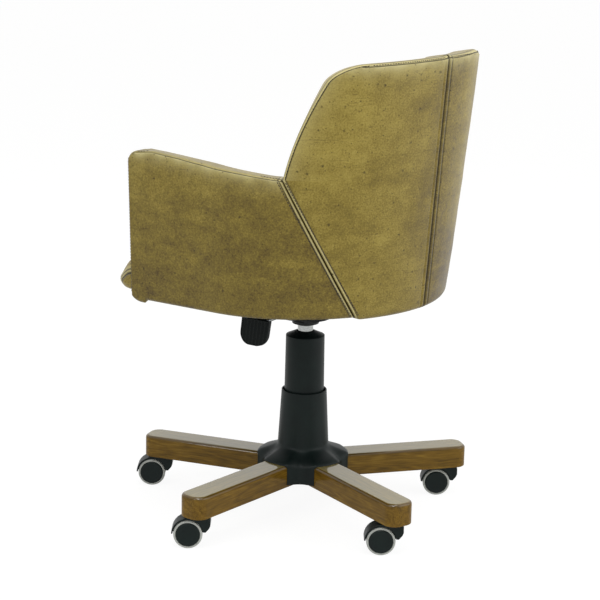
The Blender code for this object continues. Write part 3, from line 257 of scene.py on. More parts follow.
def anilineLeather():
    # pull-up aniline hide: uneven waxy colour, small dark specks, soft satin gleam, and painted highlights and painted
    # reflections along its edges, strips and seams
    look = leatherLook
    drag, rag, crease, fleck, pores = (look[key] for key in ("drag", "rag", "crease", "fleck", "pores"))
    material, add, shader = startMaterial("anilineLeather", {
        "Specular IOR Level": 0.16, "Coat Weight": 0.35, "Coat Roughness": 0.32, "Coat IOR": 1.45})
    place = add("Attribute", {"attribute_name": "hidePlace"}).outputs["Vector"]
    hide, shade, paintedHighlight, tone = (add("Attribute", {"attribute_name": name}).outputs["Fac"]
                               for name in ("hide", "seamShade", "edgeWear", "patina"))
    fields = []
    for size, detail, rough, weight in look["layers"]:
        fields.append(add("TexNoise", {
            "noise_dimensions": "4D", "Scale": 1 / size, "Detail": detail, "Roughness": rough,
        }, {"Vector": place, "W": hide}))
        tone = add("Math MULTIPLY_ADD", {1: weight}, {0: fields[-1], 2: tone})
    mottle, cloud, grain = fields
    # the hide was dragged and waxed by hand, so broad soft streaks run up across it
    shifted = add("VectorMath ADD", {}, {0: place, 1: hide})
    longer, slanted = (add("Mapping", {"Rotation": look["slant"], "Scale": (squeeze, 1.0, 1.0)},
                               {"Vector": shifted}) for squeeze in (drag["squeeze"], crease["squeeze"]))
    streak = add("TexNoise", {"Scale": 1 / drag["size"], "Detail": 3.0}, {"Vector": longer})
    tone = add("Math MULTIPLY_ADD", {1: drag["weight"]}, {0: streak, 2: tone})
    tone = add("MapRange", {"From Min": look["tone"][0], "From Max": look["tone"][1]}, {"Value": tone})
    colour = add("ValToRGB", {
        "stops": ((0.0, look["dark"]), (0.5, look["mid"]), (1.0, look["light"]))}, {"Fac": tone})

    # specks lie in a few cells only, of mixed size, and more of them where the slow mottle is high
    ragged = add("TexNoise", {"Scale": 1 / rag["size"], "Detail": 3.0}, {"Vector": shifted}).outputs["Color"]
    ragged = add("VectorMath MULTIPLY_ADD", {1: (rag["reach"],) * 3}, {0: ragged, 2: shifted})
    marked = None
    for size, near, far, rarity, strength in look["marks"]:
        cells = add("TexVoronoi", {"voronoi_dimensions": "2D", "Scale": 1 / size}, {"Vector": ragged})
        chance = add("SeparateColor", {}, {"Color": cells.outputs["Color"]})
        keep = add("Math MULTIPLY_ADD", {1: 0.8}, {0: mottle, 2: chance})
        keep = add("Math GREATER_THAN", {1: rarity + 0.40}, {0: keep})
        wide = add("MapRange", {"To Min": 0.8, "To Max": 2.6}, {"Value": chance.outputs[1]})
        wide = add("Math MULTIPLY", {}, {0: cells, 1: wide})
        spot = add("MapRange", {
            "From Min": near, "From Max": far, "To Min": strength, "To Max": 0.0}, {"Value": wide})
        spot = add("Math MULTIPLY", {}, {0: spot, 1: keep})
        marked = spot if marked is None else add("Math MAXIMUM", {}, {0: marked, 1: spot})

    # long faint creases that run up across the hide, and flecks that follow them
    line = add("TexNoise", {"Scale": 1 / crease["size"], "Detail": 4.0}, {"Vector": slanted})
    line = add("Math SUBTRACT", {1: 0.5}, {0: line})
    line = add("Math ABSOLUTE", {}, {0: line})
    line = add("MapRange", {
        "From Max": crease["half"], "To Min": crease["depth"], "To Max": 0.0}, {"Value": line})
    fine = add("TexNoise", {"Scale": 1 / fleck["size"], "Detail": 3.0, "Roughness": 0.7}, {"Vector": longer})
    fine = add("MapRange", {
        "From Min": fleck["from"][0], "From Max": fleck["from"][1], "To Max": fleck["depth"]}, {"Value": fine})
    kept = []
    for dark, field, (low, high) in ((line, mottle, crease["where"]), (fine, cloud, fleck["where"])):
        where = add("MapRange", {"From Min": low, "From Max": high}, {"Value": field})
        kept.append(add("Math MULTIPLY", {}, {0: dark, 1: where}))
    line = add("Math MAXIMUM", {}, {0: kept[0], 1: kept[1]})

    # edgeWear brings in the painted highlights and painted reflections, seamShade the dark seam lines
    for factor, over in ((line, "dark"), (paintedHighlight, "highlightColour"), (marked, "mark"), (shade, "shade")):
        colour = add("Mix", {"data_type": "RGBA", 7: toLinear(look[over])}, {0: factor, 6: colour}).outputs[2]
    rough = add("MapRange", {"To Min": look["rough"][0], "To Max": look["rough"][1]}, {"Value": cloud})
    # pores are really near 0.3 mm apart, drawn ten times coarser so that they show
    height = add("Math MULTIPLY_ADD", {1: pores["share"]}, {0: grain, 2: cloud})
    bump = add("Bump", {"Strength": pores["strength"], "Distance": pores["height"]}, {"Height": height})
    joinTo(shader, {"Base Color": colour, "Roughness": rough, "Normal": bump})
    return material


def waxedThread():
    # bonded thread drawn through wax: near black, with paler fibres here and there
    material, add, shader = startMaterial("waxedThread", {"Roughness": 0.55, "Base Color": toLinear("#1E170C")})
    place = add("TexCoord").outputs["Object"]
    strand = add("TexNoise", {"Scale": 1 / 0.0008, "Detail": 1.0}, {"Vector": place})
    tint = add("ValToRGB", {"stops": ((0.3, "#140F07"), (0.7, "#33281A"))}, {"Fac": strand})
    joinTo(shader, {"Base Color": tint})
    return material


# topReflection is the pale tone of the painted reflection on the level tops
woodLook = {
    "dark": "#49370D", "mid": "#735617", "light": "#8B6D25", "topReflection": "#B6B57C",
    "streak": 0.0020, "broad": 0.016, "loop": 0.030, "rings": 15.0, "tone": (0.46, 1.12),
}


def lacqueredWood():
    # stained rubberwood under thick clear lacquer: long streaks and open loops below a mirror-smooth skin
    look = woodLook
    material, add, shader = startMaterial("lacqueredWood", {
        "Roughness": 0.42, "Specular IOR Level": 0.05, "Coat Roughness": 0.05, "Coat IOR": 1.65})
    grain = add("Attribute", {"attribute_name": "grainPlace"}).outputs["Vector"]
    long, loop = (add("VectorMath MULTIPLY", {1: (squeeze, 1.0, 1.0)}, {0: grain})
                  for squeeze in (0.05, 0.22))
    streak = add("TexNoise", {"Scale": 1 / look["streak"], "Detail": 4.0, "Roughness": 0.6}, {"Vector": long})
    sway = add("TexNoise", {"Scale": 1 / look["loop"], "Detail": 2.0}, {"Vector": loop})
    rings = add("Math MULTIPLY", {1: look["rings"]}, {0: sway})
    rings = add("Math PINGPONG", {1: 1.0}, {0: rings})
    broad = add("TexNoise", {"Scale": 1 / look["broad"], "Detail": 2.0}, {"Vector": long})
    tone = add("Math MULTIPLY_ADD", {1: 0.20}, {0: rings, 2: streak})
    tone = add("Math MULTIPLY_ADD", {1: 0.4}, {0: broad, 2: tone})
    tone = add("MapRange", {"From Min": look["tone"][0], "From Max": look["tone"][1]}, {"Value": tone})
    tint = add("ValToRGB", {
        "stops": ((0.0, look["dark"]), (0.55, look["mid"]), (1.0, look["light"]))}, {"Fac": tone})
    # the level tops are painted paler, a painted reflection of the white above them; the lacquer lies thick on the tops
    # and thin on the sides
    upward = add("SeparateXYZ", {}, {0: add("NewGeometry").outputs["Normal"]}).outputs["Z"]
    paintedTopReflection = add("MapRange", {"From Min": 0.90, "From Max": 1.0, "To Max": 0.30}, {"Value": upward})
    # the round edges are painted darker: a painted reflection of a dark surround
    rising = add("MapRange", {"From Min": 0.10, "From Max": 0.50, "To Max": 0.55}, {"Value": upward})
    level = add("MapRange", {"From Min": 0.85, "From Max": 0.98, "To Min": 1.0, "To Max": 0.0},
                    {"Value": upward})
    paintedEdgeReflection = add("Math MULTIPLY", {}, {0: rising, 1: level})
    for factor, over in ((paintedTopReflection, "topReflection"), (paintedEdgeReflection, "dark")):
        tint = add("Mix", {"data_type": "RGBA", 7: toLinear(look[over])}, {0: factor, 6: tint}).outputs[2]
    coat = add("MapRange", {"From Min": 0.25, "From Max": 0.95, "To Min": 0.16}, {"Value": upward})
    bump = add("Bump", {"Strength": 0.05, "Distance": 0.0004}, {"Height": streak})
    joinTo(shader, {"Base Color": tint, "Coat Weight": coat, "Normal": bump})
    return material


def plasticLook(name, dark, light, low, high, grit, strength, gleam):
    # moulded skin: spark-eroded tool leaves a fine even grit, here drawn coarser than its 0.2 mm
    material, add, shader = startMaterial(name, {"Specular IOR Level": gleam})
    place = add("TexCoord").outputs["Object"]
    fine = add("TexNoise", {"Scale": 1 / grit, "Detail": 2.0}, {"Vector": place})
    slow = add("TexNoise", {"Scale": 1 / 0.035, "Detail": 3.0}, {"Vector": place})
    tint = add("ValToRGB", {"stops": ((0.3, dark), (0.7, light))}, {"Fac": slow})
    rough = add("MapRange", {"To Min": low, "To Max": high}, {"Value": slow})
    bump = add("Bump", {"Strength": strength, "Distance": 0.0003}, {"Height": fine})
    joinTo(shader, {"Base Color": tint, "Roughness": rough, "Normal": bump})
    return material


def drawnSteel(name, dark, light, low, high):
    # turned or plated steel: bright, with the faint rings that polishing leaves
    material, add, shader = startMaterial(name, {"Metallic": 1.0})
    place = add("TexCoord").outputs["Object"]
    rings = add("Mapping", {"Scale": (0.2, 0.2, 1.0)}, {"Vector": place})
    fine = add("TexNoise", {"Scale": 1 / 0.0012, "Detail": 2.0}, {"Vector": rings})
    tint = add("ValToRGB", {"stops": ((0.3, dark), (0.7, light))}, {"Fac": fine})
    rough = add("MapRange", {"To Min": low, "To Max": high}, {"Value": fine})
    joinTo(shader, {"Base Color": tint, "Roughness": rough})
    return material


def birchPlywood():
    # rotary-cut birch with glue lines at the edges, drawn 3 mm apart so that they show
    material, add, shader = startMaterial("birchPlywood", {"Roughness": 0.62})
    place = add("TexCoord").outputs["Object"]
    long = add("Mapping", {"Scale": (1.0, 0.08, 1.0)}, {"Vector": place})
    fibre = add("TexNoise", {"Scale": 1 / 0.003, "Detail": 3.0}, {"Vector": long})
    plies = add("TexWave", {"bands_direction": "Z", "Scale": 0.314 / 0.003, "Distortion": 0.4},
                    {"Vector": place}).outputs["Fac"]
    tone = add("Math MULTIPLY_ADD", {1: 0.35}, {0: plies, 2: fibre})
    tint = add("ValToRGB", {"stops": ((0.35, "#7B5A32"), (0.95, "#C6A06A"))}, {"Fac": tone})
    joinTo(shader, {"Base Color": tint})
    return material


def nonWovenCloth():
    # spun-bonded cloth: matt black, pressed with rows of small bond points, drawn 3 mm apart so that they show
    material, add, shader = startMaterial("nonWovenCloth", {"Roughness": 0.9, "Sheen Weight": 0.2})
    place = add("TexCoord").outputs["Object"]
    cells = add("TexVoronoi", {"Scale": 1 / 0.003, "Randomness": 0.25}, {"Vector": place})
    tint = add("ValToRGB", {"stops": ((0.05, "#0D0D0E"), (0.35, "#1D1E1F"))}, {"Fac": cells})
    bump = add("Bump", {"Strength": 0.5, "Distance": 0.0004}, {"Height": cells})
    joinTo(shader, {"Base Color": tint, "Normal": bump})
    return material


leather = anilineLeather()
thread = waxedThread()
wood = lacqueredWood()
nylon = plasticLook("mouldedNylon", "#0D1615", "#141F1D", 0.36, 0.50, 0.0009, 0.10, 0.16)
gripNylon = plasticLook("mouldedGripNylon", "#070D0B", "#0C1412", 0.30, 0.42, 0.0009, 0.08, 0.12)
tread = plasticLook("softPolyurethane", "#A7AAA5", "#BCBFB9", 0.45, 0.60, 0.0011, 0.12, 0.30)
paint = plasticLook("powderCoatedSteel", "#0C0E0E", "#131616", 0.40, 0.55, 0.0014, 0.20, 0.25)
chrome = drawnSteel("chromedSteel", "#909290", "#B4B6B4", 0.10, 0.20)
zinc = drawnSteel("zincPlatedSteel", "#8E9192", "#B3B6B6", 0.22, 0.34)
plywood = birchPlywood()
cloth = nonWovenCloth()
print("materials made")


# upholstered tub: one surface, cut into two arms and two back halves

tub = {
    "bottom": 0.4105, "thickness": 0.0480, "gap": 0.0003,
    "half": (0.2712, 0.038), "back": (0.2410, 0.073), "square": (1.94, 0.457),
    "armFront": -0.1812, "armTop": 0.6668, "armCorner": 0.0220,
    "notchTurn": 25.2, "notchHeight": 0.6455, "seamFoot": 55.5, "edgeLean": 6.5, "edgeCurve": 7.2,
    "cornerTurn": 56.5, "cornerRise": 0.0302, "rim": 0.8380, "rimArch": 0.0028, "rimFall": 0.0090,
    "boardRise": 0.0125, "boardShare": 0.63, "boardFrom": -0.1730,
}
rimEnd = tub["rim"] - tub["rimArch"]
edgeTop = rimEnd - tub["cornerRise"]
notchRise = tub["notchHeight"] - tub["bottom"]
arcScale = radians(1) * (tub["half"][0] + tub["back"][0]) / 2
armEnd = tub["notchTurn"] * arcScale
seamLean = cos(atan((tub["seamFoot"] - tub["notchTurn"]) * arcScale / notchRise))


def tubPlan(turn, height):
    # plan point and outward direction: turn in degrees round the back, or metres of Y along the arm
    rise = height - tub["bottom"]
    half = tub["half"][0] + tub["half"][1] * rise
    back = tub["back"][0] + tub["back"][1] * rise
    power = tub["square"][0] + tub["square"][1] * rise / (tub["rim"] - tub["bottom"])
    if turn <= 0:
        return Vector((half, turn, height)), Vector((1, 0, 0))
    if turn >= 90:
        return Vector((0, back, height)), Vector((0, 1, 0))
    c, s = cos(radians(turn)), sin(radians(turn))
    x, y = half * c ** (2 / power), back * s ** (2 / power)
    out = Vector((x ** (power - 1) / half ** power, y ** (power - 1) / back ** power, 0)).normalized()
    return Vector((x, y, height)), out


def seamTurn(height):
    share = (tub["notchHeight"] - height) / notchRise
    return tub["notchTurn"] + (tub["seamFoot"] - tub["notchTurn"]) * share


def freeEdgeTurn(height):
    share = (height - tub["notchHeight"]) / (edgeTop - tub["notchHeight"])
    return tub["notchTurn"] + tub["edgeLean"] * share + tub["edgeCurve"] * share * share


def backEdgeTurn(height):
    if height < tub["notchHeight"]:
        return seamTurn(height)
    turn = freeEdgeTurn(height)
    if height > edgeTop:
        share = min(1.0, (height - edgeTop) / (rimEnd - edgeTop))
        turn += (tub["cornerTurn"] - freeEdgeTurn(rimEnd)) * quarterDrop(share)
    return turn


def backEdgeAt(level):
    return backEdgeTurn(level) * arcScale


def rimAt(turn):
    share = min(1.0, (90 - turn) / (90 - tub["cornerTurn"]))
    return tub["rim"] - tub["rimArch"] * share * share


def armFrontAt(height):
    corner = tub["armCorner"]
    return tub["armFront"] + corner * quarterDrop(max(0.0, (height - (tub["armTop"] - corner)) / corner))


def armTopAt(along):
    start = tub["armFront"] + tub["armCorner"]
    return tub["armTop"] + (tub["notchHeight"] - tub["armTop"]) * (min(along, armEnd) - start) / (armEnd - start)


def armShare(along):
    return (along - tub["armFront"]) / (armEnd - tub["armFront"])


def armTurn(along):
    return along if along <= 0 else along / arcScale


panel = {
    "armSteps": (128, 80), "backSteps": (90, 124), "notchRow": 68, "layers": 22,
    "crowd": 0.85, "backCrowd": 0.8, "depthCrowd": 0.7,
    "round": {"arm": {"top": (0.0055, 0.0060), "side": (0.0055, 0.0180), "bottom": (0.0070, 0.0020)},
              "back": {"top": (0.0095, 0.0080), "side": (0.0055, 0.0080), "bottom": (0.0070, 0.0020)}},
    "crown": 0.0018, "groove": 0.0020, "grooveWidth": 0.0013, "inset": {"arm": 0.0010, "back": 0.0046},
    "raise": ((0.0, 0.0), (0.06, 0.0), (0.2, 0.0068), (0.35, 0.0065), (0.5, 0.0050), (0.65, 0.0032), (1.0, 0.0016)),
    "fall": ((0.0, 0.0), (0.5, 0.0), (0.7, 0.0018), (0.9, 0.0018), (1.0, 0.0008)),
    "frontLip": (0.0055, 0.034, 0.005), "footCorner": (0.024, 0.0150), "backLip": 0.0046, "lipDepth": (0.0040, 0.0200),
    "boardReach": 0.03, "lipReach": 0.05, "rimBump": (0.0016, 0.004, 0.006, 0.010),
    "farCrest": (0.0022, 71, 8), "farDroop": (0.0060, 70, 14), "farReach": 0.03,
    "swell": 0.0016, "swellReach": 0.035, "wave": 0.0009, "waveSize": 0.075, "waveReach": 0.010,
    "pucker": 0.0007, "puckerPitch": 0.0086, "puckerPlace": (0.003, 0.004), "onFace": 0.003, "fill": 0.9,
    # by a sewn edge: (how far the cover stands off, distance, width)
    "stand": {"seam": ((-0.0020, 0, 0.0012), (0.0010, 0.0031, 0.0016), (-0.0008, 0.0058, 0.0008),
                       (-0.0004, 0.0095, 0.003)),
              "centre": ((-0.0026, 0, 0.0018), (0.0008, 0.0060, 0.0030), (-0.0010, 0.0116, 0.0016))},
    # tones of the cover: dark lines as (strength, distance, width), painted highlights and painted reflections by
    # strength and reach
    "tones": {
        "lines": {"seam": ((0.97, 0, 0.0015), (0.85, 0.0058, 0.0010)), "centre": ((1.0, 0, 0.0030),)},
        "secondLine": ((0.90, 0.0116, 0.0019),), "foot": (0.35, 0.006), "front": (0.38, 0.006), "edgeLine": 0.0015,
        "stripLine": (0.90, 0.0048, 0.0014), "hushFront": (-0.165, -0.090), "hush": 0.25,
        # gleam, strip, bare, side and seamWear set painted highlights and painted reflections of the white surround on
        # the cover
        "gleam": {"arm": 0.85, "back": 1.05}, "gleamReach": 0.0090, "uneven": (0.5, 0.02), "inside": 0.4,
        "strip": {"arm": 0.36, "back": 0.54}, "stripLeast": 0.12, "stripReach": 0.0065,
        "bare": {"arm": 0.50, "back": 0.72},
        "side": (0.26, 0.016), "seamWear": (0.68, 0.0031, 0.0016), "most": 0.95,
        # top is partly patina and partly painted light from above; the arm's front and the back's shoulder are painted
        # highlights
        "arm": {"all": 0.24, "top": 0.14, "front": 0.12, "foot": 0.03},
        "back": {"all": 0.485, "top": 0.04, "middle": 0.18, "shoulder": 0.10, "farHalf": 0.04, "farPatch": 0.46},
    },
}
tones = panel["tones"]


def follow(stops, share):
    for (a, first), (b, last) in zip(stops, stops[1:]):
        if share <= b:
            return first + (last - first) * ease((share - a) / (b - a))
    return stops[-1][1]


def square(edgeAt, level):
    # slope of a leaning edge, and what shortens a level distance to it to the distance square to it
    small = 0.0004
    lean = (edgeAt(level) - edgeAt(level - small)) / small
    return lean, 1 / sqrt(1 + lean * lean)


def armSpot(u, v):
    # where a share of the arm's length and height lies, with its distance from each kind of edge
    level = tub["bottom"] + v * (tub["armTop"] - tub["bottom"])
    start = armFrontAt(level)
    end = seamTurn(tub["bottom"] + v * notchRise) * arcScale - tub["gap"] / 2
    along = start + (end - start) * u
    lift = follow(panel["raise"], armShare(along))
    top = armTopAt(along) + lift
    height = tub["bottom"] + v * (top - tub["bottom"])
    edges = {"top": top - height, "side": (along - start) * square(armFrontAt, level)[1],
             "seam": (end - along) * seamLean, "bottom": height - tub["bottom"]}
    fall = (lift + follow(panel["fall"], armShare(along))) * v ** 3
    drop, reach, ramp = panel["frontLip"]
    lip = drop * ease((tub["armFront"] + reach - along) / ramp)
    reach, rise = panel["footCorner"]
    corner = rise * quarterDrop(max(0.0, 1 - (along - tub["armFront"]) / reach))
    return armTurn(along), height, fall, edges, along, lip, corner, edges["top"]


def backSpot(u, v):
    row = panel["notchRow"] / panel["backSteps"][1]
    low, notch = tub["bottom"], tub["notchHeight"]
    if v < row:
        level = low + (notch - low) * crowded(v / row, panel["backCrowd"])
    else:
        level = notch + (rimEnd - notch) * crowded((v - row) / (1 - row), panel["backCrowd"])
    start = backEdgeTurn(level) + tub["gap"] / 2 / arcScale
    turn = start + (90 - start) * u
    share = (level - low) / (rimEnd - low)
    height = low + share * (rimAt(turn) - low)
    fall = tub["rimFall"] * max(0.0, level - notch) / (rimEnd - notch)
    edges = {"top": rimAt(turn) - height, "centre": abs(tubPlan(turn, height)[0].x), "bottom": height - low}
    bare = edges["top"]
    if v >= row:
        edges["side"] = (turn - start) * arcScale * square(backEdgeAt, level)[1]
        bare = min(bare, edges["side"])
    else:
        edges["seam"] = (turn - start) * arcScale * seamLean
        bare = min(bare, hypot((turn - tub["notchTurn"]) * arcScale, notch - height))
    lip = panel["backLip"] * ease((turn - tub["seamFoot"] + 1) / 4)
    rise, at, width, reach = panel["rimBump"]
    bump = rise * bell(edges["centre"], at, width) * exp(-edges["top"] / reach)
    return turn, height, fall, edges, turn * arcScale, lip, bump, bare


def facePush(edge, d):
    return sum(lineAt(d, line) for line in panel["stand"].get(edge, ()))


def seamShadeOf(edge, d, right):
    if edge == "bottom":
        return tones["foot"][0] * exp(-d / tones["foot"][1])
    lines = tones["lines"].get(edge, ())
    if right and edge == "centre":
        lines += tones["secondLine"]
    return max((lineAt(d, line) for line in lines), default=0.0)


def patinaAndLightOf(kind, side, place):
    # broad tone: arms darker below their top, partly patina and partly painted shade under light from above, with a
    # painted highlight near their front; back duller by its middle seam, with painted highlights high on its outer
    # corners, and rubbed dark low on one half
    rise = (place.z - tub["bottom"]) / notchRise
    part = tones[kind]
    if kind == "arm":
        # painted highlight near the arm's front, strongest high up
        front = exp(-max(0.0, place.y - tub["armFront"]) / 0.035)
        return (part["all"] + part["top"] * ease((rise - 0.60) / 0.40) + part["front"] * front * ease(rise / 0.8)
                + part["foot"] * bell(rise, 0.0, 0.12))
    tone = part["all"] + part["top"] * ease(rise - 0.6) - part["middle"] * bell(place.x, 0, 0.075)
    # painted highlight high on the back's outer corners
    tone += part["shoulder"] * bell(place.x, 0.225, 0.05) * ease((rise - 0.8) / 0.3)
    if side == "right":
        tone -= part["farHalf"] + part["farPatch"] * bell(rise, 0.14, 0.34) * bell(place.x, 0.10, 0.08)
    return tone


def hideLayers(bm):
    layers = {key: bm.verts.layers.float.new(key) for key in ("seamShade", "edgeWear", "patina", "hide")}
    layers["hidePlace"] = bm.verts.layers.float_vector.new("hidePlace")
    return layers


def turnCorner(move, normal, face, e, d, size):
    # lays a point near the edge of a slab on a round: e is its depth on the strip, d its distance on the face
    if d < 1e-6:
        turn = radians(45) * (1 + min(1.0, e / size))
        move += normal * size * (sin(turn) - 1)
        move -= face * (size - size * cos(turn) - min(e, size))
    else:
        turn = radians(45) * (1 - d / size)
        move += normal * (d - size + size * sin(turn))
        move -= face * (size - size * cos(turn))


def layPanel(bm, kind, side, layers):
    # bends the slab onto the tub, and notes what its cover needs to know at each point
    columns, rows = panel[kind + "Steps"]
    near, far = panel["lipDepth"]
    facts, spots = [], {}
    for vert in bm.verts:
        u, v, w = vert.co
        key = (round(u * columns), round(v * rows))
        if key not in spots:
            u = crowded(u, panel["crowd"])
            spots[key] = armSpot(u, crowded(v, panel["crowd"])) if kind == "arm" else backSpot(u, v)
        turn, height, fall, edges, along, lip, rise, bare = spots[key]
        depth = crowded(w, panel["depthCrowd"])
        floor = ease((depth - tub["boardShare"]) / 0.05) * tub["boardRise"]  # room for the seat board
        if kind == "arm":
            floor *= ease((along - tub["boardFrom"]) / 0.0022)  # the cover closes in front of the board's edge
        lip *= 1 - ease((depth * tub["thickness"] - near) / (far - near))
        byFoot = max(0.0, 1 - edges["bottom"] / panel["lipReach"])
        height += floor * max(0.0, 1 - edges["bottom"] / panel["boardReach"]) - lip * byFoot
        height += rise * (byFoot if kind == "arm" else 1)
        if side == "right" and kind == "back":
            # this end of the rim is rubbed down a little
            droop, start, reach = panel["farDroop"]
            droop = lineAt(turn, panel["farCrest"]) - droop * ease((start - turn) / reach)
            height += droop * exp(-edges["top"] / panel["farReach"])
        height -= fall * depth
        place, out = tubPlan(turn, height)
        vert.co = place - out * depth * tub["thickness"]
        if turn >= 90:
            vert.co.x = tub["gap"] / 2
        facts.append((vert, key, w, depth, out, edges, along, bare))
        shift = depth * tub["thickness"] * 0.7
        vert[layers["hidePlace"]] = (along + shift, height + shift, 0)
    bmesh.ops.recalc_face_normals(bm, faces=bm.faces)
    bm.normal_update()
    return facts


def coverPanel(kind, side, hide, layers, facts):
    # pulls the cover into its seams and grooves, turns it round the edges and sets its tones
    rows = panel[kind + "Steps"][1]
    inset = panel["inset"][kind]
    middle = {key: vert.normal.copy() for vert, key, w, *_ in facts if abs(w - 0.5) < 0.5 / panel["layers"]}
    moves = []
    for vert, key, w, depth, out, edges, along, bare in facts:
        iu, iv = key
        inner = depth > 0.5
        e = min(depth, 1 - depth) * tub["thickness"]
        face = -out if inner else out
        onFace = exp(-e / panel["onFace"])
        nearest = min(edges.values())
        push = sum(facePush(name, d) for name, d in edges.items())
        push += panel["swell"] * (1 - exp(-nearest / panel["swellReach"]))
        wave = noise.noise(vert.co / panel["waveSize"] + Vector((hide * 7, 0, 0)))
        wave += 0.4 * noise.noise(vert.co / (panel["waveSize"] / 3) + Vector((0, hide * 5, 0)))
        push += panel["wave"] * wave * (1 - exp(-nearest / panel["waveReach"]))
        free = min(edges["top"], edges.get("side", 1.0))
        if kind == "back":
            gather = sin(tau * along / panel["puckerPitch"]) * (0.5 + noise.noise(vert.co / 0.03))
            below, width = panel["puckerPlace"]
            push += panel["pucker"] * gather * bell(edges["top"], inset + below, width)
        push -= panel["groove"] * bell(free, inset, panel["grooveWidth"])
        move = face * push * onFace
        # the strip that closes the slab turns the corners of the free edges and of the bottom on a round
        edge = min((name for name in ("top", "side", "bottom") if name in edges), key=edges.get)
        at = {"top": (iu, rows), "side": (0, iv), "bottom": (iu, 0)}[edge]
        size = panel["round"][kind][edge][inner]
        onStrip = 0 < w < 1 and edges[edge] < 1e-6
        if at in middle and (onStrip or (w in (0, 1) and edges[edge] < size)):
            turnCorner(move, middle[at], face, e, edges[edge], size)
            if edge != "bottom":
                move -= middle[at] * panel["crown"] * abs(2 * depth - 1) ** 4 * max(0.0, 1 - edges[edge] / size)
        moves.append(move)

        shade = max(seamShadeOf(name, d, side == "right") for name, d in edges.items())
        line = bell(free, inset, tones["edgeLine"])
        # painted highlight below the top edge, where the rounded cover would catch the light from above; weaker inside
        uneven = 1 + tones["uneven"][0] * noise.noise(vert.co / tones["uneven"][1])
        paintedHighlight = tones["gleam"][kind] * uneven * exp(-max(0.0, edges["top"] - inset) / tones["gleamReach"])
        if inner:
            paintedHighlight *= tones["inside"]
        # the strip along the free edges is painted pale: a painted reflection of the white surround at a grazing angle
        if onStrip and edge != "bottom":
            paintedHighlight = tones["stripLeast"] + tones["strip"][kind] * exp(-(e / tones["stripReach"]) ** 2)
            line = lineAt(e, tones["stripLine"]) if kind == "back" else 0.0
            onFace = 1.0
        # painted reflection on the narrow band between the seam and the free edge
        elif bare < inset:
            paintedHighlight = max(paintedHighlight, tones["bare"][kind])
        # painted highlight along the back's free edge
        elif "side" in edges and kind == "back":
            paintedHighlight = max(paintedHighlight, tones["side"][0] * exp(-(edges["side"] - inset) / tones["side"][1]))
        if kind == "arm":
            shade = max(shade, tones["front"][0] * exp(-edges["side"] / tones["front"][1]))
            start, end = tones["hushFront"]
            line *= tones["hush"] + (1 - tones["hush"]) * ease((along - start) / (end - start))
        # painted highlight on the raised fold beside the back seam
        if "seam" in edges:
            paintedHighlight = max(paintedHighlight, lineAt(edges["seam"], tones["seamWear"]))
        vert[layers["seamShade"]] = min(1.0, max(shade, line) * onFace)
        vert[layers["edgeWear"]] = min(tones["most"], paintedHighlight)
        vert[layers["patina"]] = patinaAndLightOf(kind, side, vert.co)
        vert[layers["hide"]] = hide
    for (vert, *_), move in zip(facts, moves):
        vert.co += move
        vert.co.x = max(vert.co.x, tub["gap"] / 2)


def makePanel(kind, side, hide):
    bm = unitSlab(*panel[kind + "Steps"], panel["layers"])
    layers = hideLayers(bm)
    coverPanel(kind, side, hide, layers, layPanel(bm, kind, side, layers))
    if side == "right":
        bmesh.ops.scale(bm, vec=(-1, 1, 1), verts=bm.verts)
    bmesh.ops.recalc_face_normals(bm, faces=bm.faces)
    made = makePiece(f"{kind}Panel.{side}", bm, leather, "seat", (f"{kind}_{side}",))
    return made


# each panel is cut from its own place on the hide
panels = [makePanel(kind, side, 0.37 + 1.9 * number) for number, (kind, side) in enumerate(
    (("arm", "left"), ("arm", "right"), ("back", "left"), ("back", "right")))]
print("leather panels made")


# seat cushion, blown up under cloth from the solid that holds its place

cushion = {
    "voxel": 0.006, "pressure": 4.0, "frames": 20, "cap": 0.008, "sideCap": 0.004, "seamHeight": 0.452,
    "restHeight": 0.018, "restShare": 0.1, "smooth": (0.5, 0.4, 0.4), "fill": 0.75, "hide": 9.1, "patina": 0.42,
    "noseFrom": -0.190, "noseRamp": 0.02, "noseSide": 0.16, "noseFill": 0.0045, "seamFrom": -0.2174,
    "noseSeams": ((0.4380, 0.027, 0.028, 0.0021, 1.0), (0.4445, 0.033, 0.034, 0.0013, 0.9)),
    "seamWear": (0.55, 0.003, 0.003), "seamDip": (0.0012, 0, 0.0020),
}


def noseSeam(place, top, reach, drop):
    # distance to a seam that runs level along the side and turns down round the nose
    ahead = (cushion["seamFrom"] - place.y) / reach
    up = (place.z - top + drop) / drop
    if ahead <= 0:
        return abs(place.z - top)
    return abs(hypot(ahead, max(0.0, up)) - 1) * min(reach, drop)


def blownCushion():
    # even mesh of the solid, and the same mesh blown up
    draft = addObject("cushionDraft", meshOf("cushionStart", solidCopy("seat_cushion", 1e-5)))
    remesh = draft.modifiers.new("voxels", "REMESH")
    remesh.mode = "VOXEL"
    remesh.voxel_size = cushion["voxel"]
    even = evaluatedMesh(draft)
    draft.modifiers.clear()
    draft.data = even
    start = [v.co.copy() for v in even.vertices]
    blown = draft.modifiers.new("cloth", "CLOTH")
    blown.settings.use_pressure = True
    blown.settings.uniform_pressure_force = cushion["pressure"]
    blown.settings.effector_weights.gravity = 0
    blown.point_cache.frame_start, blown.point_cache.frame_end = 1, cushion["frames"]
    for step in range(1, cushion["frames"] + 1):
        bpy.context.scene.frame_set(step)
    puffed = evaluatedMesh(draft)
    bpy.context.scene.frame_set(1)
    bpy.data.objects.remove(draft)
    return start, puffed


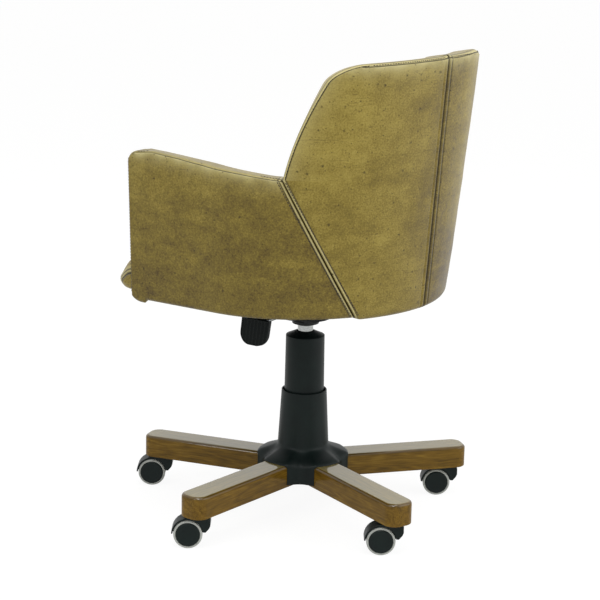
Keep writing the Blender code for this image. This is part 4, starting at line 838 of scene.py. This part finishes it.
def makeCushion():
    start, puffed = blownCushion()
    bm = bmesh.new()
    bm.from_mesh(puffed)
    bm.verts.ensure_lookup_table()
    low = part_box("seat_cushion")[0]
    for vert, first in zip(bm.verts, start):
        move = vert.co - first
        cap = cushion["cap"] if first.z > cushion["seamHeight"] else cushion["sideCap"]
        if first.z < low.z + cushion["restHeight"]:
            move *= cushion["restShare"]  # flat on the board
        if move.length > cap:
            move *= cap / move.length
        vert.co = first + move
    for factor in cushion["smooth"]:
        bmesh.ops.smooth_vert(bm, verts=bm.verts, factor=factor, use_axis_x=True, use_axis_y=True, use_axis_z=True)
    bmesh.ops.subdivide_edges(bm, edges=bm.edges, cuts=1, use_grid_fill=True, smooth=1.0)
    nose = [e for e in bm.edges
            if all(v.co.y < cushion["noseFrom"] and abs(v.co.x) > cushion["noseSide"] for v in e.verts)]
    bmesh.ops.subdivide_edges(bm, edges=nose, cuts=2, use_grid_fill=True, smooth=1.0)
    bmesh.ops.recalc_face_normals(bm, faces=bm.faces)
    layers = hideLayers(bm)
    bm.normal_update()
    for vert in bm.verts:
        ahead = ease((cushion["noseFrom"] - vert.co.y) / cushion["noseRamp"])
        lines = [(noseSeam(vert.co, *seam[:3]), *seam[3:]) for seam in cushion["noseSeams"]]
        vert[layers["seamShade"]] = ahead * max(dark * bell(d, 0, width) for d, width, dark in lines)
        # painted highlight on the band beside the nose seam
        vert[layers["edgeWear"]] = ahead * lineAt(lines[1][0], cushion["seamWear"])
        vert[layers["patina"]] = cushion["patina"]
        fill = cushion["noseFill"] * (1 - 0.8 * max(0.0, vert.normal.z)) - lineAt(lines[0][0], cushion["seamDip"])
        vert.co += vert.normal * ahead * fill
        vert[layers["hide"]] = cushion["hide"]
        vert[layers["hidePlace"]] = (vert.co.x + vert.co.z, vert.co.y - vert.co.z, 0)
    made = makePiece("seatCushion", bm, leather, "seat", ("seat_cushion",))


makeCushion()
print("cushion made")


# dust cover: one cut of cloth, stapled tight under the seat board

dust = {"pitch": 0.012, "sag": 0.0011, "reach": 0.05, "hold": (0.125, 0.110), "thickness": 0.0003}


def makeDustCover():
    bm = solidCopy("dust_cover")
    bm.normal_update()
    bmesh.ops.delete(bm, geom=[f for f in bm.faces if f.normal.z > -0.9], context="FACES")
    low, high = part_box("dust_cover")
    for axis in (0, 1):
        way = Vector((1 - axis, axis, 0))
        for step in range(1, int((high[axis] - low[axis]) / dust["pitch"])):
            cutAlong(bm, way * (low[axis] + dust["pitch"] * step), way)
    area = sum(f.calc_area() for f in bm.faces)
    rim = [v.co.copy() for v in bm.verts if v.is_boundary]
    for vert in bm.verts:
        edge = min((vert.co - spot).length for spot in rim)
        held = max(abs(vert.co.x) - dust["hold"][0], abs(vert.co.y) - dust["hold"][1])
        vert.co.z -= dust["sag"] * ease(edge / dust["reach"]) * ease(held / dust["reach"])
    bmesh.ops.translate(bm, vec=(0, 0, dust["thickness"]), verts=bm.verts)
    bmesh.ops.solidify(bm, geom=bm.faces[:], thickness=-dust["thickness"])
    bmesh.ops.recalc_face_normals(bm, faces=bm.faces)
    made = makePiece("dustCover", bm, cloth, "seat", ("dust_cover",))


makeDustCover()
print("dust cover made")


# seams: each stitch is a short bead of thread laid on the cover

stitch = {
    "length": 0.0044, "pitch": 0.0052, "radius": 0.00062, "flat": 1.25, "sunk": 0.4, "search": 0.03,
    "seamOff": 0.0058, "insideOff": 0.005, "clear": 0.004, "rimEnd": 89.5,
}


def surfaceOf(piece):
    bm = bmesh.new()
    bm.from_mesh(piece.data)
    tree = BVHTree.FromBMesh(bm)
    bm.free()
    return tree


def landed(trees, place, out):
    best = None
    reach = stitch["search"]
    for tree in trees:
        spot, normal, _, far = tree.ray_cast(place + out * reach, -out, reach * 2)
        if spot and (best is None or far < best[2]):
            best = (spot, normal, far)
    return best


def sewLine(sewn, trees, line):
    # line: (place, outward direction) close together; beads are set at an even pitch along it
    bm = bmesh.new()
    run = 0.0
    due = stitch["pitch"] / 2
    for (a, outA), (b, outB) in zip(line, line[1:]):
        length = (b - a).length
        while length > 0 and run + length >= due:
            share = (due - run) / length
            due += stitch["pitch"]
            out = outA.lerp(outB, share).normalized()
            hit = landed(trees, a.lerp(b, share), out)
            if not hit:
                continue
            normal = hit[1] if hit[1].dot(out) > 0 else -hit[1]
            across = normal.cross(b - a).normalized()
            along = across.cross(normal).normalized()
            size = Matrix.Diagonal((stitch["length"] / 2, stitch["radius"] * stitch["flat"], stitch["radius"], 1))
            turn = Matrix((along, across, normal)).transposed().to_4x4()
            spot = Matrix.Translation(hit[0] + normal * stitch["radius"] * stitch["sunk"])
            bmesh.ops.create_uvsphere(bm, u_segments=6, v_segments=4, radius=1, matrix=spot @ turn @ size)
        run += length
    mergeInto(sewn, bm)


def mirroredLine(line):
    return [(Vector((-p.x, p.y, p.z)), Vector((-n.x, n.y, n.z))) for p, n in line]


def between(first, last, count):
    return [first + (last - first) * (i / count) for i in range(count + 1)]


def tubLine(spots, inside=False):
    line = []
    for turn, height in spots:
        place, out = tubPlan(turn, height)
        line.append((place - out * tub["thickness"], -out) if inside else (place, out))
    return line


def makeStitches():
    bm = bmesh.new()
    trees = [surfaceOf(piece) for piece in panels]
    low, notch, clear = tub["bottom"], tub["notchHeight"], stitch["clear"]
    lines = []
    for off in (-stitch["seamOff"], stitch["seamOff"]):
        spots = [(seamTurn(low + (notch - low) * t) + off / seamLean / arcScale,
                  low + clear + (notch - low - 2 * clear) * t) for t in between(0, 1, 60)]
        lines += [tubLine(spots), tubLine(spots, True)]
    # along the arm's top and front, then up the back's free edge and round its rim, outside and inside
    drop, backDrop = panel["inset"]["arm"], panel["inset"]["back"]
    for inside in (False, True):
        armDrop, fall = drop + stitch["insideOff"] * inside, tub["rimFall"] * inside
        armTop = []
        for along in between(tub["armFront"] + tub["armCorner"], armEnd - clear, 60):
            down = follow(panel["fall"], armShare(along)) if inside else -follow(panel["raise"], armShare(along))
            armTop.append((armTurn(along), armTopAt(along) - down - armDrop))
        armFront = [(armFrontAt(h) + armDrop, h) for h in between(low + 0.010, tub["armTop"] - 0.014, 60)]
        edge = []
        for t in between(0, 1, 120):
            level = notch + clear + (rimEnd - notch - clear - 0.0002) * sin(t * pi / 2)
            lean, short = square(backEdgeAt, level)
            turn = backEdgeTurn(level) + backDrop * short / arcScale
            edge.append((turn, level - backDrop * lean * short - fall * (level - notch) / (rimEnd - notch)))
        rim = [(turn, rimAt(turn) - backDrop - fall) for turn in between(tub["cornerTurn"], stitch["rimEnd"], 60)]
        lines += [tubLine(spots, inside) for spots in (armTop, armFront, edge, rim)]
    for line in lines:
        sewLine(bm, trees, line)
        sewLine(bm, trees, mirroredLine(line))
    makePiece("seamStitches", bm, thread, "seat")


makeStitches()
print("stitches made")


# lacquered legs

leg = {
    "first": radians(67.35), "count": 5, "root": 0.0440, "tip": 0.3095, "width": 0.0524, "bottom": 0.0568,
    "height": 0.0400, "corner": 0.0200, "round": 0.0060, "lower": 0.0012,
    "grooveHalf": 0.0128, "grooveDepth": 0.0203, "grooveEnds": (0.0460, 0.2963), "plank": (0.7, 0.31, 0.17),
}
legTop = leg["bottom"] + leg["height"]
legAngles = [leg["first"] + tau * i / leg["count"] for i in range(leg["count"])]


def boxBetween(low, high):
    bm = bmesh.new()
    bmesh.ops.create_cube(bm, size=1)
    bmesh.ops.scale(bm, vec=high - low, verts=bm.verts)
    bmesh.ops.translate(bm, vec=(low + high) / 2, verts=bm.verts)
    return bm


def makeLeg(number, angle):
    half, (grooveStart, grooveEnd) = leg["grooveHalf"], leg["grooveEnds"]
    side = leg["width"] / 2
    bm = boxBetween(Vector((leg["root"], -side, leg["bottom"])), Vector((leg["tip"], side, legTop)))
    tip = [e for e in bm.edges if all(v.co.x > leg["tip"] - 1e-5 for v in e.verts)
           and abs(e.verts[0].co.z - e.verts[1].co.z) > 0.01]
    roundEdges(bm, tip, leg["corner"], 10)
    for level, size, count in ((legTop, leg["round"], 6), (leg["bottom"], leg["lower"], 3)):
        rim = [e for e in bm.edges if all(abs(v.co.z - level) < 1e-6 for v in e.verts)
               and max(v.co.x for v in e.verts) > leg["root"] + 1e-5]
        roundEdges(bm, rim, size, count)
    # groove below for the arm of the steel frame
    for place, way in (((0, half, 0), (0, 1, 0)), ((0, -half, 0), (0, 1, 0)),
                       ((grooveStart, 0, 0), (1, 0, 0)), ((grooveEnd, 0, 0), (1, 0, 0))):
        cutAlong(bm, place, way)
    inside = [f for f in bm.faces if f.normal.z < -0.9 and abs(f.calc_center_median().y) < half
              and grooveStart < f.calc_center_median().x < grooveEnd]
    liftExtruded(bm, bmesh.ops.extrude_face_region(bm, geom=inside), leg["grooveDepth"])
    bmesh.ops.delete(bm, geom=[f for f in inside if f.is_valid], context="FACES_ONLY")
    bmesh.ops.recalc_face_normals(bm, faces=bm.faces)
    grain = bm.verts.layers.float_vector.new("grainPlace")
    for vert in bm.verts:
        vert[grain] = vert.co + Vector(leg["plank"]) * number
    bmesh.ops.transform(bm, matrix=turnedBy(angle), verts=bm.verts)
    makePiece(f"leg.{number}", bm, wood, "base", (f"leg_{number}",), 40, True)


for number, angle in enumerate(legAngles, 1):
    makeLeg(number, angle)
print("legs made")


# moulded covers of the column

hubCover = {
    "rim": 0.2190, "rimRadius": 0.0406, "neck": 0.1206, "neckRadius": 0.0458, "bottom": 0.0620, "lobe": 0.0830,
    "valley": 0.0735, "flarePower": 2.0, "lobePower": 0.6, "flareShare": (0.54, 0.40), "lobeFlat": 0.42,
    "lobeFall": 0.55, "wall": 0.0025, "rimRound": 0.0009, "steps": (240, 60), "crowd": 1.25,
    "archGap": 0.0004, "archRound": 0.0064,
}


def hubCoverRadius(height, share):
    if height >= hubCover["neck"]:
        rise = (height - hubCover["neck"]) / (hubCover["rim"] - hubCover["neck"])
        return hubCover["neckRadius"] + (hubCover["rimRadius"] - hubCover["neckRadius"]) * rise
    spread = hubCover["valley"] + (hubCover["lobe"] - hubCover["valley"]) * share
    drop = (hubCover["neck"] - height) / (hubCover["neck"] - hubCover["bottom"])
    valley, lobe = hubCover["flareShare"]
    flare = sin(min(1.0, drop / (valley + (lobe - valley) * share)) * pi / 2)
    flare **= hubCover["flarePower"] + hubCover["lobePower"] * share
    return hubCover["neckRadius"] + (spread - hubCover["neckRadius"]) * flare


def cutAway(bm, cutter):
    # exact difference of two closed meshes, both given as bmeshes
    made = [addObject(name, meshOf(name, source)) for name, source in (("blank", bm), ("cutter", cutter))]
    cut = made[0].modifiers.new("cut", "BOOLEAN")
    cut.operation, cut.solver, cut.object = "DIFFERENCE", "EXACT", made[1]
    cut.use_self = True
    result = evaluatedMesh(made[0])
    for obj in made:
        bpy.data.objects.remove(obj)
    bm = bmesh.new()
    bm.from_mesh(result)
    bmesh.ops.remove_doubles(bm, verts=bm.verts, dist=1e-6)
    return bm


def makeHubCover():
    columns, rows = hubCover["steps"]
    bm = bmesh.new()
    bmesh.ops.create_grid(bm, x_segments=columns, y_segments=rows, size=0.5)
    for vert in bm.verts:
        around, up = vert.co.x + 0.5, vert.co.y + 0.5
        turn = around * leg["count"] % 1.0
        off = min(turn, 1 - turn) * 2
        share = ease(1 - min(1.0, max(0.0, (off - hubCover["lobeFlat"]) / hubCover["lobeFall"])))
        height = hubCover["bottom"] + (hubCover["rim"] - hubCover["bottom"]) * up ** hubCover["crowd"]
        radius = hubCoverRadius(height, share)
        angle = leg["first"] + tau * around
        vert.co = (radius * cos(angle), radius * sin(angle), height)
    bmesh.ops.remove_doubles(bm, verts=bm.verts, dist=1e-6)
    bmesh.ops.recalc_face_normals(bm, faces=bm.faces)
    if sum(f.normal.dot(f.calc_center_median()) for f in bm.faces) < 0:
        bmesh.ops.reverse_faces(bm, faces=bm.faces)
    bmesh.ops.solidify(bm, geom=bm.faces[:], thickness=hubCover["wall"])
    rim = [e for e in bm.edges if all(v.co.z > hubCover["rim"] - 0.0008 for v in e.verts)]
    roundEdges(bm, rim, hubCover["rimRound"], 3)
    bmesh.ops.recalc_face_normals(bm, faces=bm.faces)
    cutter = bmesh.new()
    half = leg["width"] / 2 + hubCover["archGap"]
    low = Vector((hubCover["neckRadius"] + 0.0005, -half, leg["bottom"] - 0.01))
    high = Vector((hubCover["lobe"] + 0.02, half, legTop + hubCover["archGap"]))
    for angle in legAngles:
        arch = boxBetween(low, high)
        top = [e for e in arch.edges
               if all(v.co.z > legTop for v in e.verts) and abs((e.verts[0].co - e.verts[1].co).x) > 0.01]
        roundEdges(arch, top, hubCover["archRound"], 6)
        bmesh.ops.transform(arch, matrix=turnedBy(angle), verts=arch.verts)
        mergeInto(cutter, arch)
    makePiece("hubCover", cutAway(bm, cutter), nylon, "base", ("hub_cover",), 38, True)


# (radius, height) round the column
columnCover = {
    "outline": ((0.0334, 0.190), (0.0359, 0.190), (0.0347, 0.3196), (0.0333, 0.3200), (0.0155, 0.3280),
                (0.0155, 0.3260), (0.0322, 0.3176)),
    "steps": 96, "round": 0.0010,
}
gasCylinder = {
    "outline": ((0.0, 0.125), (0.014, 0.125), (0.014, 0.345), (0.0132, 0.378), (0.0033, 0.378), (0.0033, 0.370),
                (0.0, 0.370)),
    "steps": 72, "round": 0.0006,
}

makeHubCover()
for name, turned, material, body, slot, node in (
        ("columnCover", columnCover, nylon, "base", "black_nylon", "column_cover"),
        ("gasCylinder", gasCylinder, chrome, "seat_post", "bright_steel", "gas_cylinder")):
    shape = spun(turned["outline"], "Z", turned["steps"], turned["round"])
    makePiece(name, shape, material, body, (node,), 40)
print("covers made")


# casters

caster = {
    "radius": 0.2792, "trail": 0.0198, "heading": radians(303.8), "wheel": 0.025, "depth": 0.0042,
    "inner": 0.0076, "outer": 0.0175, "inset": 0.0008, "bore": 0.0033, "boreEnd": 0.0038, "dish": 0.0004,
    "discRound": 0.0006, "treadRound": 0.0010, "steps": 72, "hoodRound": 0.0006,
}


def makeWheels(number, angle):
    wheel, bore, inset = caster["wheel"], caster["bore"], caster["inset"]
    width = caster["outer"] - caster["inner"]
    core = wheel - caster["depth"]
    floor, dish = width - caster["boreEnd"], width - caster["dish"]
    disc = ((bore, 0.0), (bore, floor), (0.0, floor), (0.0, dish), (core - 0.0052, dish), (core - 0.0044, width),
            (core - 0.0016, width), (core, width - 0.0014), (core, 0.0))
    ring = ((core + 0.0003, inset), (core + 0.0003, width - inset), (wheel - 0.0012, width - inset),
            (wheel, width - inset - 0.0022), (wheel, inset + 0.0022), (wheel - 0.0012, inset))
    spot = Matrix.Translation((caster["radius"] * cos(angle), caster["radius"] * sin(angle), 0))
    for side, way, turn in (("a", 1, 0), ("b", -1, pi)):
        at = Matrix.Translation((caster["trail"], way * caster["inner"], wheel)) @ turnedBy(turn)
        for name, outline, rounding, material, slot in (
                ("wheel", disc, caster["discRound"], nylon, "black_nylon"),
                ("tread", ring, caster["treadRound"], tread, "grey_tread")):
            bm = spun(outline, "Y", caster["steps"], rounding)
            bmesh.ops.transform(bm, matrix=spot @ turnedBy(caster["heading"]) @ at, verts=bm.verts)
            makePiece(f"{name}.{number}.{side}", bm, material, f"caster_{number}_wheel_{side}",
                      (f"caster_{number}_{name}_{side}",), 40)


def softCopy(name, node, material, body, bevel, sharp=34):
    # the solid's own shape with its edges broken, as moulding and pressing leave them
    bm = solidCopy(node)
    bmesh.ops.dissolve_limit(bm, angle_limit=radians(1), verts=bm.verts, edges=bm.edges)
    keen = [e for e in bm.edges if len(e.link_faces) == 2 and e.calc_face_angle() > radians(sharp)]
    roundEdges(bm, keen, bevel, 3, True)
    bmesh.ops.recalc_face_normals(bm, faces=bm.faces)
    makePiece(name, bm, material, body, (node,), 50, True)


for number, angle in enumerate(legAngles, 1):
    makeWheels(number, angle)
    softCopy(f"casterHood.{number}", f"caster_{number}_hood", nylon, f"caster_{number}",
             caster["hoodRound"])
print("casters made")


# lever with its fluted grip

paddle = {
    "top": (0.1550, 0.0015, 0.3795), "foot": (0.1606, 0.0015, 0.3335), "lean": 0.0012, "half": 0.0288,
    "footHalf": 0.0280, "thickness": 0.0090, "corner": 0.0220, "edge": 0.0016, "steps": (128, 64, 10),
    "crowd": 0.6, "depthCrowd": 0.5, "flutes": 8, "fluteDepth": 0.0014, "fluteRim": (0.0008, 0.002),
    "boss": ((0.0, 0.139), (0.0075, 0.139), (0.0075, 0.159), (0.0, 0.159)), "bossRound": 0.0012,
    "bossAt": (0, 0.0015, 0.3700),
}


def makePaddle():
    p = paddle
    top, foot = Vector(p["top"]), Vector(p["foot"])
    down = (foot - top).normalized()
    length = (foot - top).length
    out = Vector((-down.z, 0, down.x))
    bm = unitSlab(*p["steps"])
    for vert in bm.verts:
        u, v, w = vert.co
        fall = length * crowded(v, p["crowd"])
        half = p["half"] + (p["footHalf"] - p["half"]) * fall / length
        half -= p["corner"] * quarterDrop(max(0.0, fall - (length - p["corner"])) / p["corner"])
        across = half * (1 - 2 * crowded(u, p["crowd"]))
        rim = min(half - abs(across), length - fall, fall)
        thick = p["thickness"] / 2 - p["edge"] * quarterDrop(max(0.0, 1 - rim / p["edge"]))
        side = 1 - 2 * crowded(w, p["depthCrowd"])
        place = thick * side
        if side > 0.999:
            dip = p["fluteDepth"] * (0.5 - 0.5 * cos(tau * p["flutes"] * (across / p["half"] + 1) / 2))
            place -= dip * ease((rim - p["fluteRim"][0]) / p["fluteRim"][1])
        across += p["lean"] * (1 - 2 * fall / length)
        vert.co = top + Vector((0, 1, 0)) * across + down * fall + out * place
    joinDoubles(bm)
    boss = spun(p["boss"], "Z", 40, p["bossRound"])
    lay = Matrix.Translation(p["bossAt"]) @ Matrix.Rotation(pi / 2, 4, "Y")
    bmesh.ops.transform(boss, matrix=lay, verts=boss.verts)
    mergeInto(bm, boss)
    makePiece("leverPaddle", bm, gripNylon, "lever", ("lever_paddle",), 40)


makePaddle()
softCopy("leverRod", "lever_rod", zinc, "lever", 0.0005, 60)
softCopy("tiltHousing", "tilt_housing", paint, "seat_post", 0.0012)
softCopy("seatBracket", "seat_bracket", paint, "seat", 0.0006)
softCopy("tensionKnob", "tension_knob", nylon, "tension", 0.0008)
softCopy("baseFrame", "base_frame", paint, "base", 0.0008)
print("mechanism made")


# finishes of the solids that keep their own shape

keptFinish = {
    "stand_tube": paint, "guide_bush": nylon, "piston_rod": chrome, "valve_button": zinc, "tilt_pin": zinc,
    "tension_spring": zinc, "seat_board": plywood, "arm_frame_left": plywood,
    "arm_frame_right": plywood, "back_frame": plywood,
}
for number in range(1, leg["count"] + 1):
    keptFinish[f"caster_{number}_stem"] = zinc
for name, material in keptFinish.items():
    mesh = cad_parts[name].data
    mesh.materials.clear()
    mesh.materials.append(material)
print("finishes set")


# studio: white all round, soft lights above, beside and behind, and one that only draws bright lines on lacquer and wax

studio = {
    "ambient": 0.44, "floor": "#F4F4F2", "size": 40.0, "below": 0.0004, "keep": 0.82, "white": 1.11,
    "lamps": (
        ("topLight", (0.4, 0.3, 2.9), (0, 0, 0.4), 2.2, 34.0, True),
        ("sideLight", (2.9, -0.6, 1.8), (0, 0, 0.5), 0.5, 14.0, True),
        ("backLight", (-0.9, 2.9, 1.5), (0, 0, 0.5), 2.6, 34.0, True),
        ("gleamLight", (1.9, 0.95, 2.9), (0, 0, 0.4), 0.9, 28.0, False),
    ),
}


def makeStudio():
    world = bpy.data.worlds.new("studio")
    bpy.context.scene.world = world
    world.use_nodes = True
    world.node_tree.nodes.clear()
    add = partial(addNode, world.node_tree)
    rays = add("LightPath").outputs
    seen = add("Math MAXIMUM", {}, {0: rays["Is Camera Ray"], 1: rays["Is Glossy Ray"]})
    seen = add("Math MAXIMUM", {}, {0: seen, 1: rays["Is Transmission Ray"]})
    level = add("MapRange", {"To Min": studio["ambient"], "To Max": 1.0}, {"Value": seen})
    light = add("Background", {"Color": (1, 1, 1, 1)}, {"Strength": level})
    add("OutputWorld", {}, {"Surface": light})
    for name, place, aim, size, power, lights in studio["lamps"]:
        data = bpy.data.lights.new(name, "AREA")
        data.size = size
        data.energy = power
        lamp = addObject(name, data)
        lamp.visible_diffuse = lights
        lamp.location = place
        lamp.rotation_mode = "QUATERNION"
        lamp.rotation_quaternion = (Vector(aim) - Vector(place)).to_track_quat("-Z", "Y")
    bm = bmesh.new()
    bmesh.ops.create_grid(bm, x_segments=2, y_segments=2, size=studio["size"])
    bmesh.ops.translate(bm, vec=(0, 0, -studio["below"]), verts=bm.verts)
    floor = addObject("floor", meshOf("floor", bm))
    # matt white paper: mostly even white to the eye, with a little of its own shading so that a shadow stays
    material, add, shader = startMaterial("whitePaper", {"Base Color": toLinear(studio["floor"]), "Roughness": 0.9})
    rays = add("LightPath").outputs
    seen = add("Math MAXIMUM", {}, {0: rays["Is Camera Ray"], 1: rays["Is Glossy Ray"]})
    part = add("Math MULTIPLY", {1: studio["keep"]}, {0: seen})
    glow = add("Emission", {"Strength": studio["white"]})
    both = add("MixShader", {}, {0: part, 1: shader, 2: glow})
    joinTo(material.node_tree.nodes["Material Output"], {"Surface": both})
    floor.data.materials.append(material)


makeStudio()
print("studio set")

bpy.context.view_layer.update()
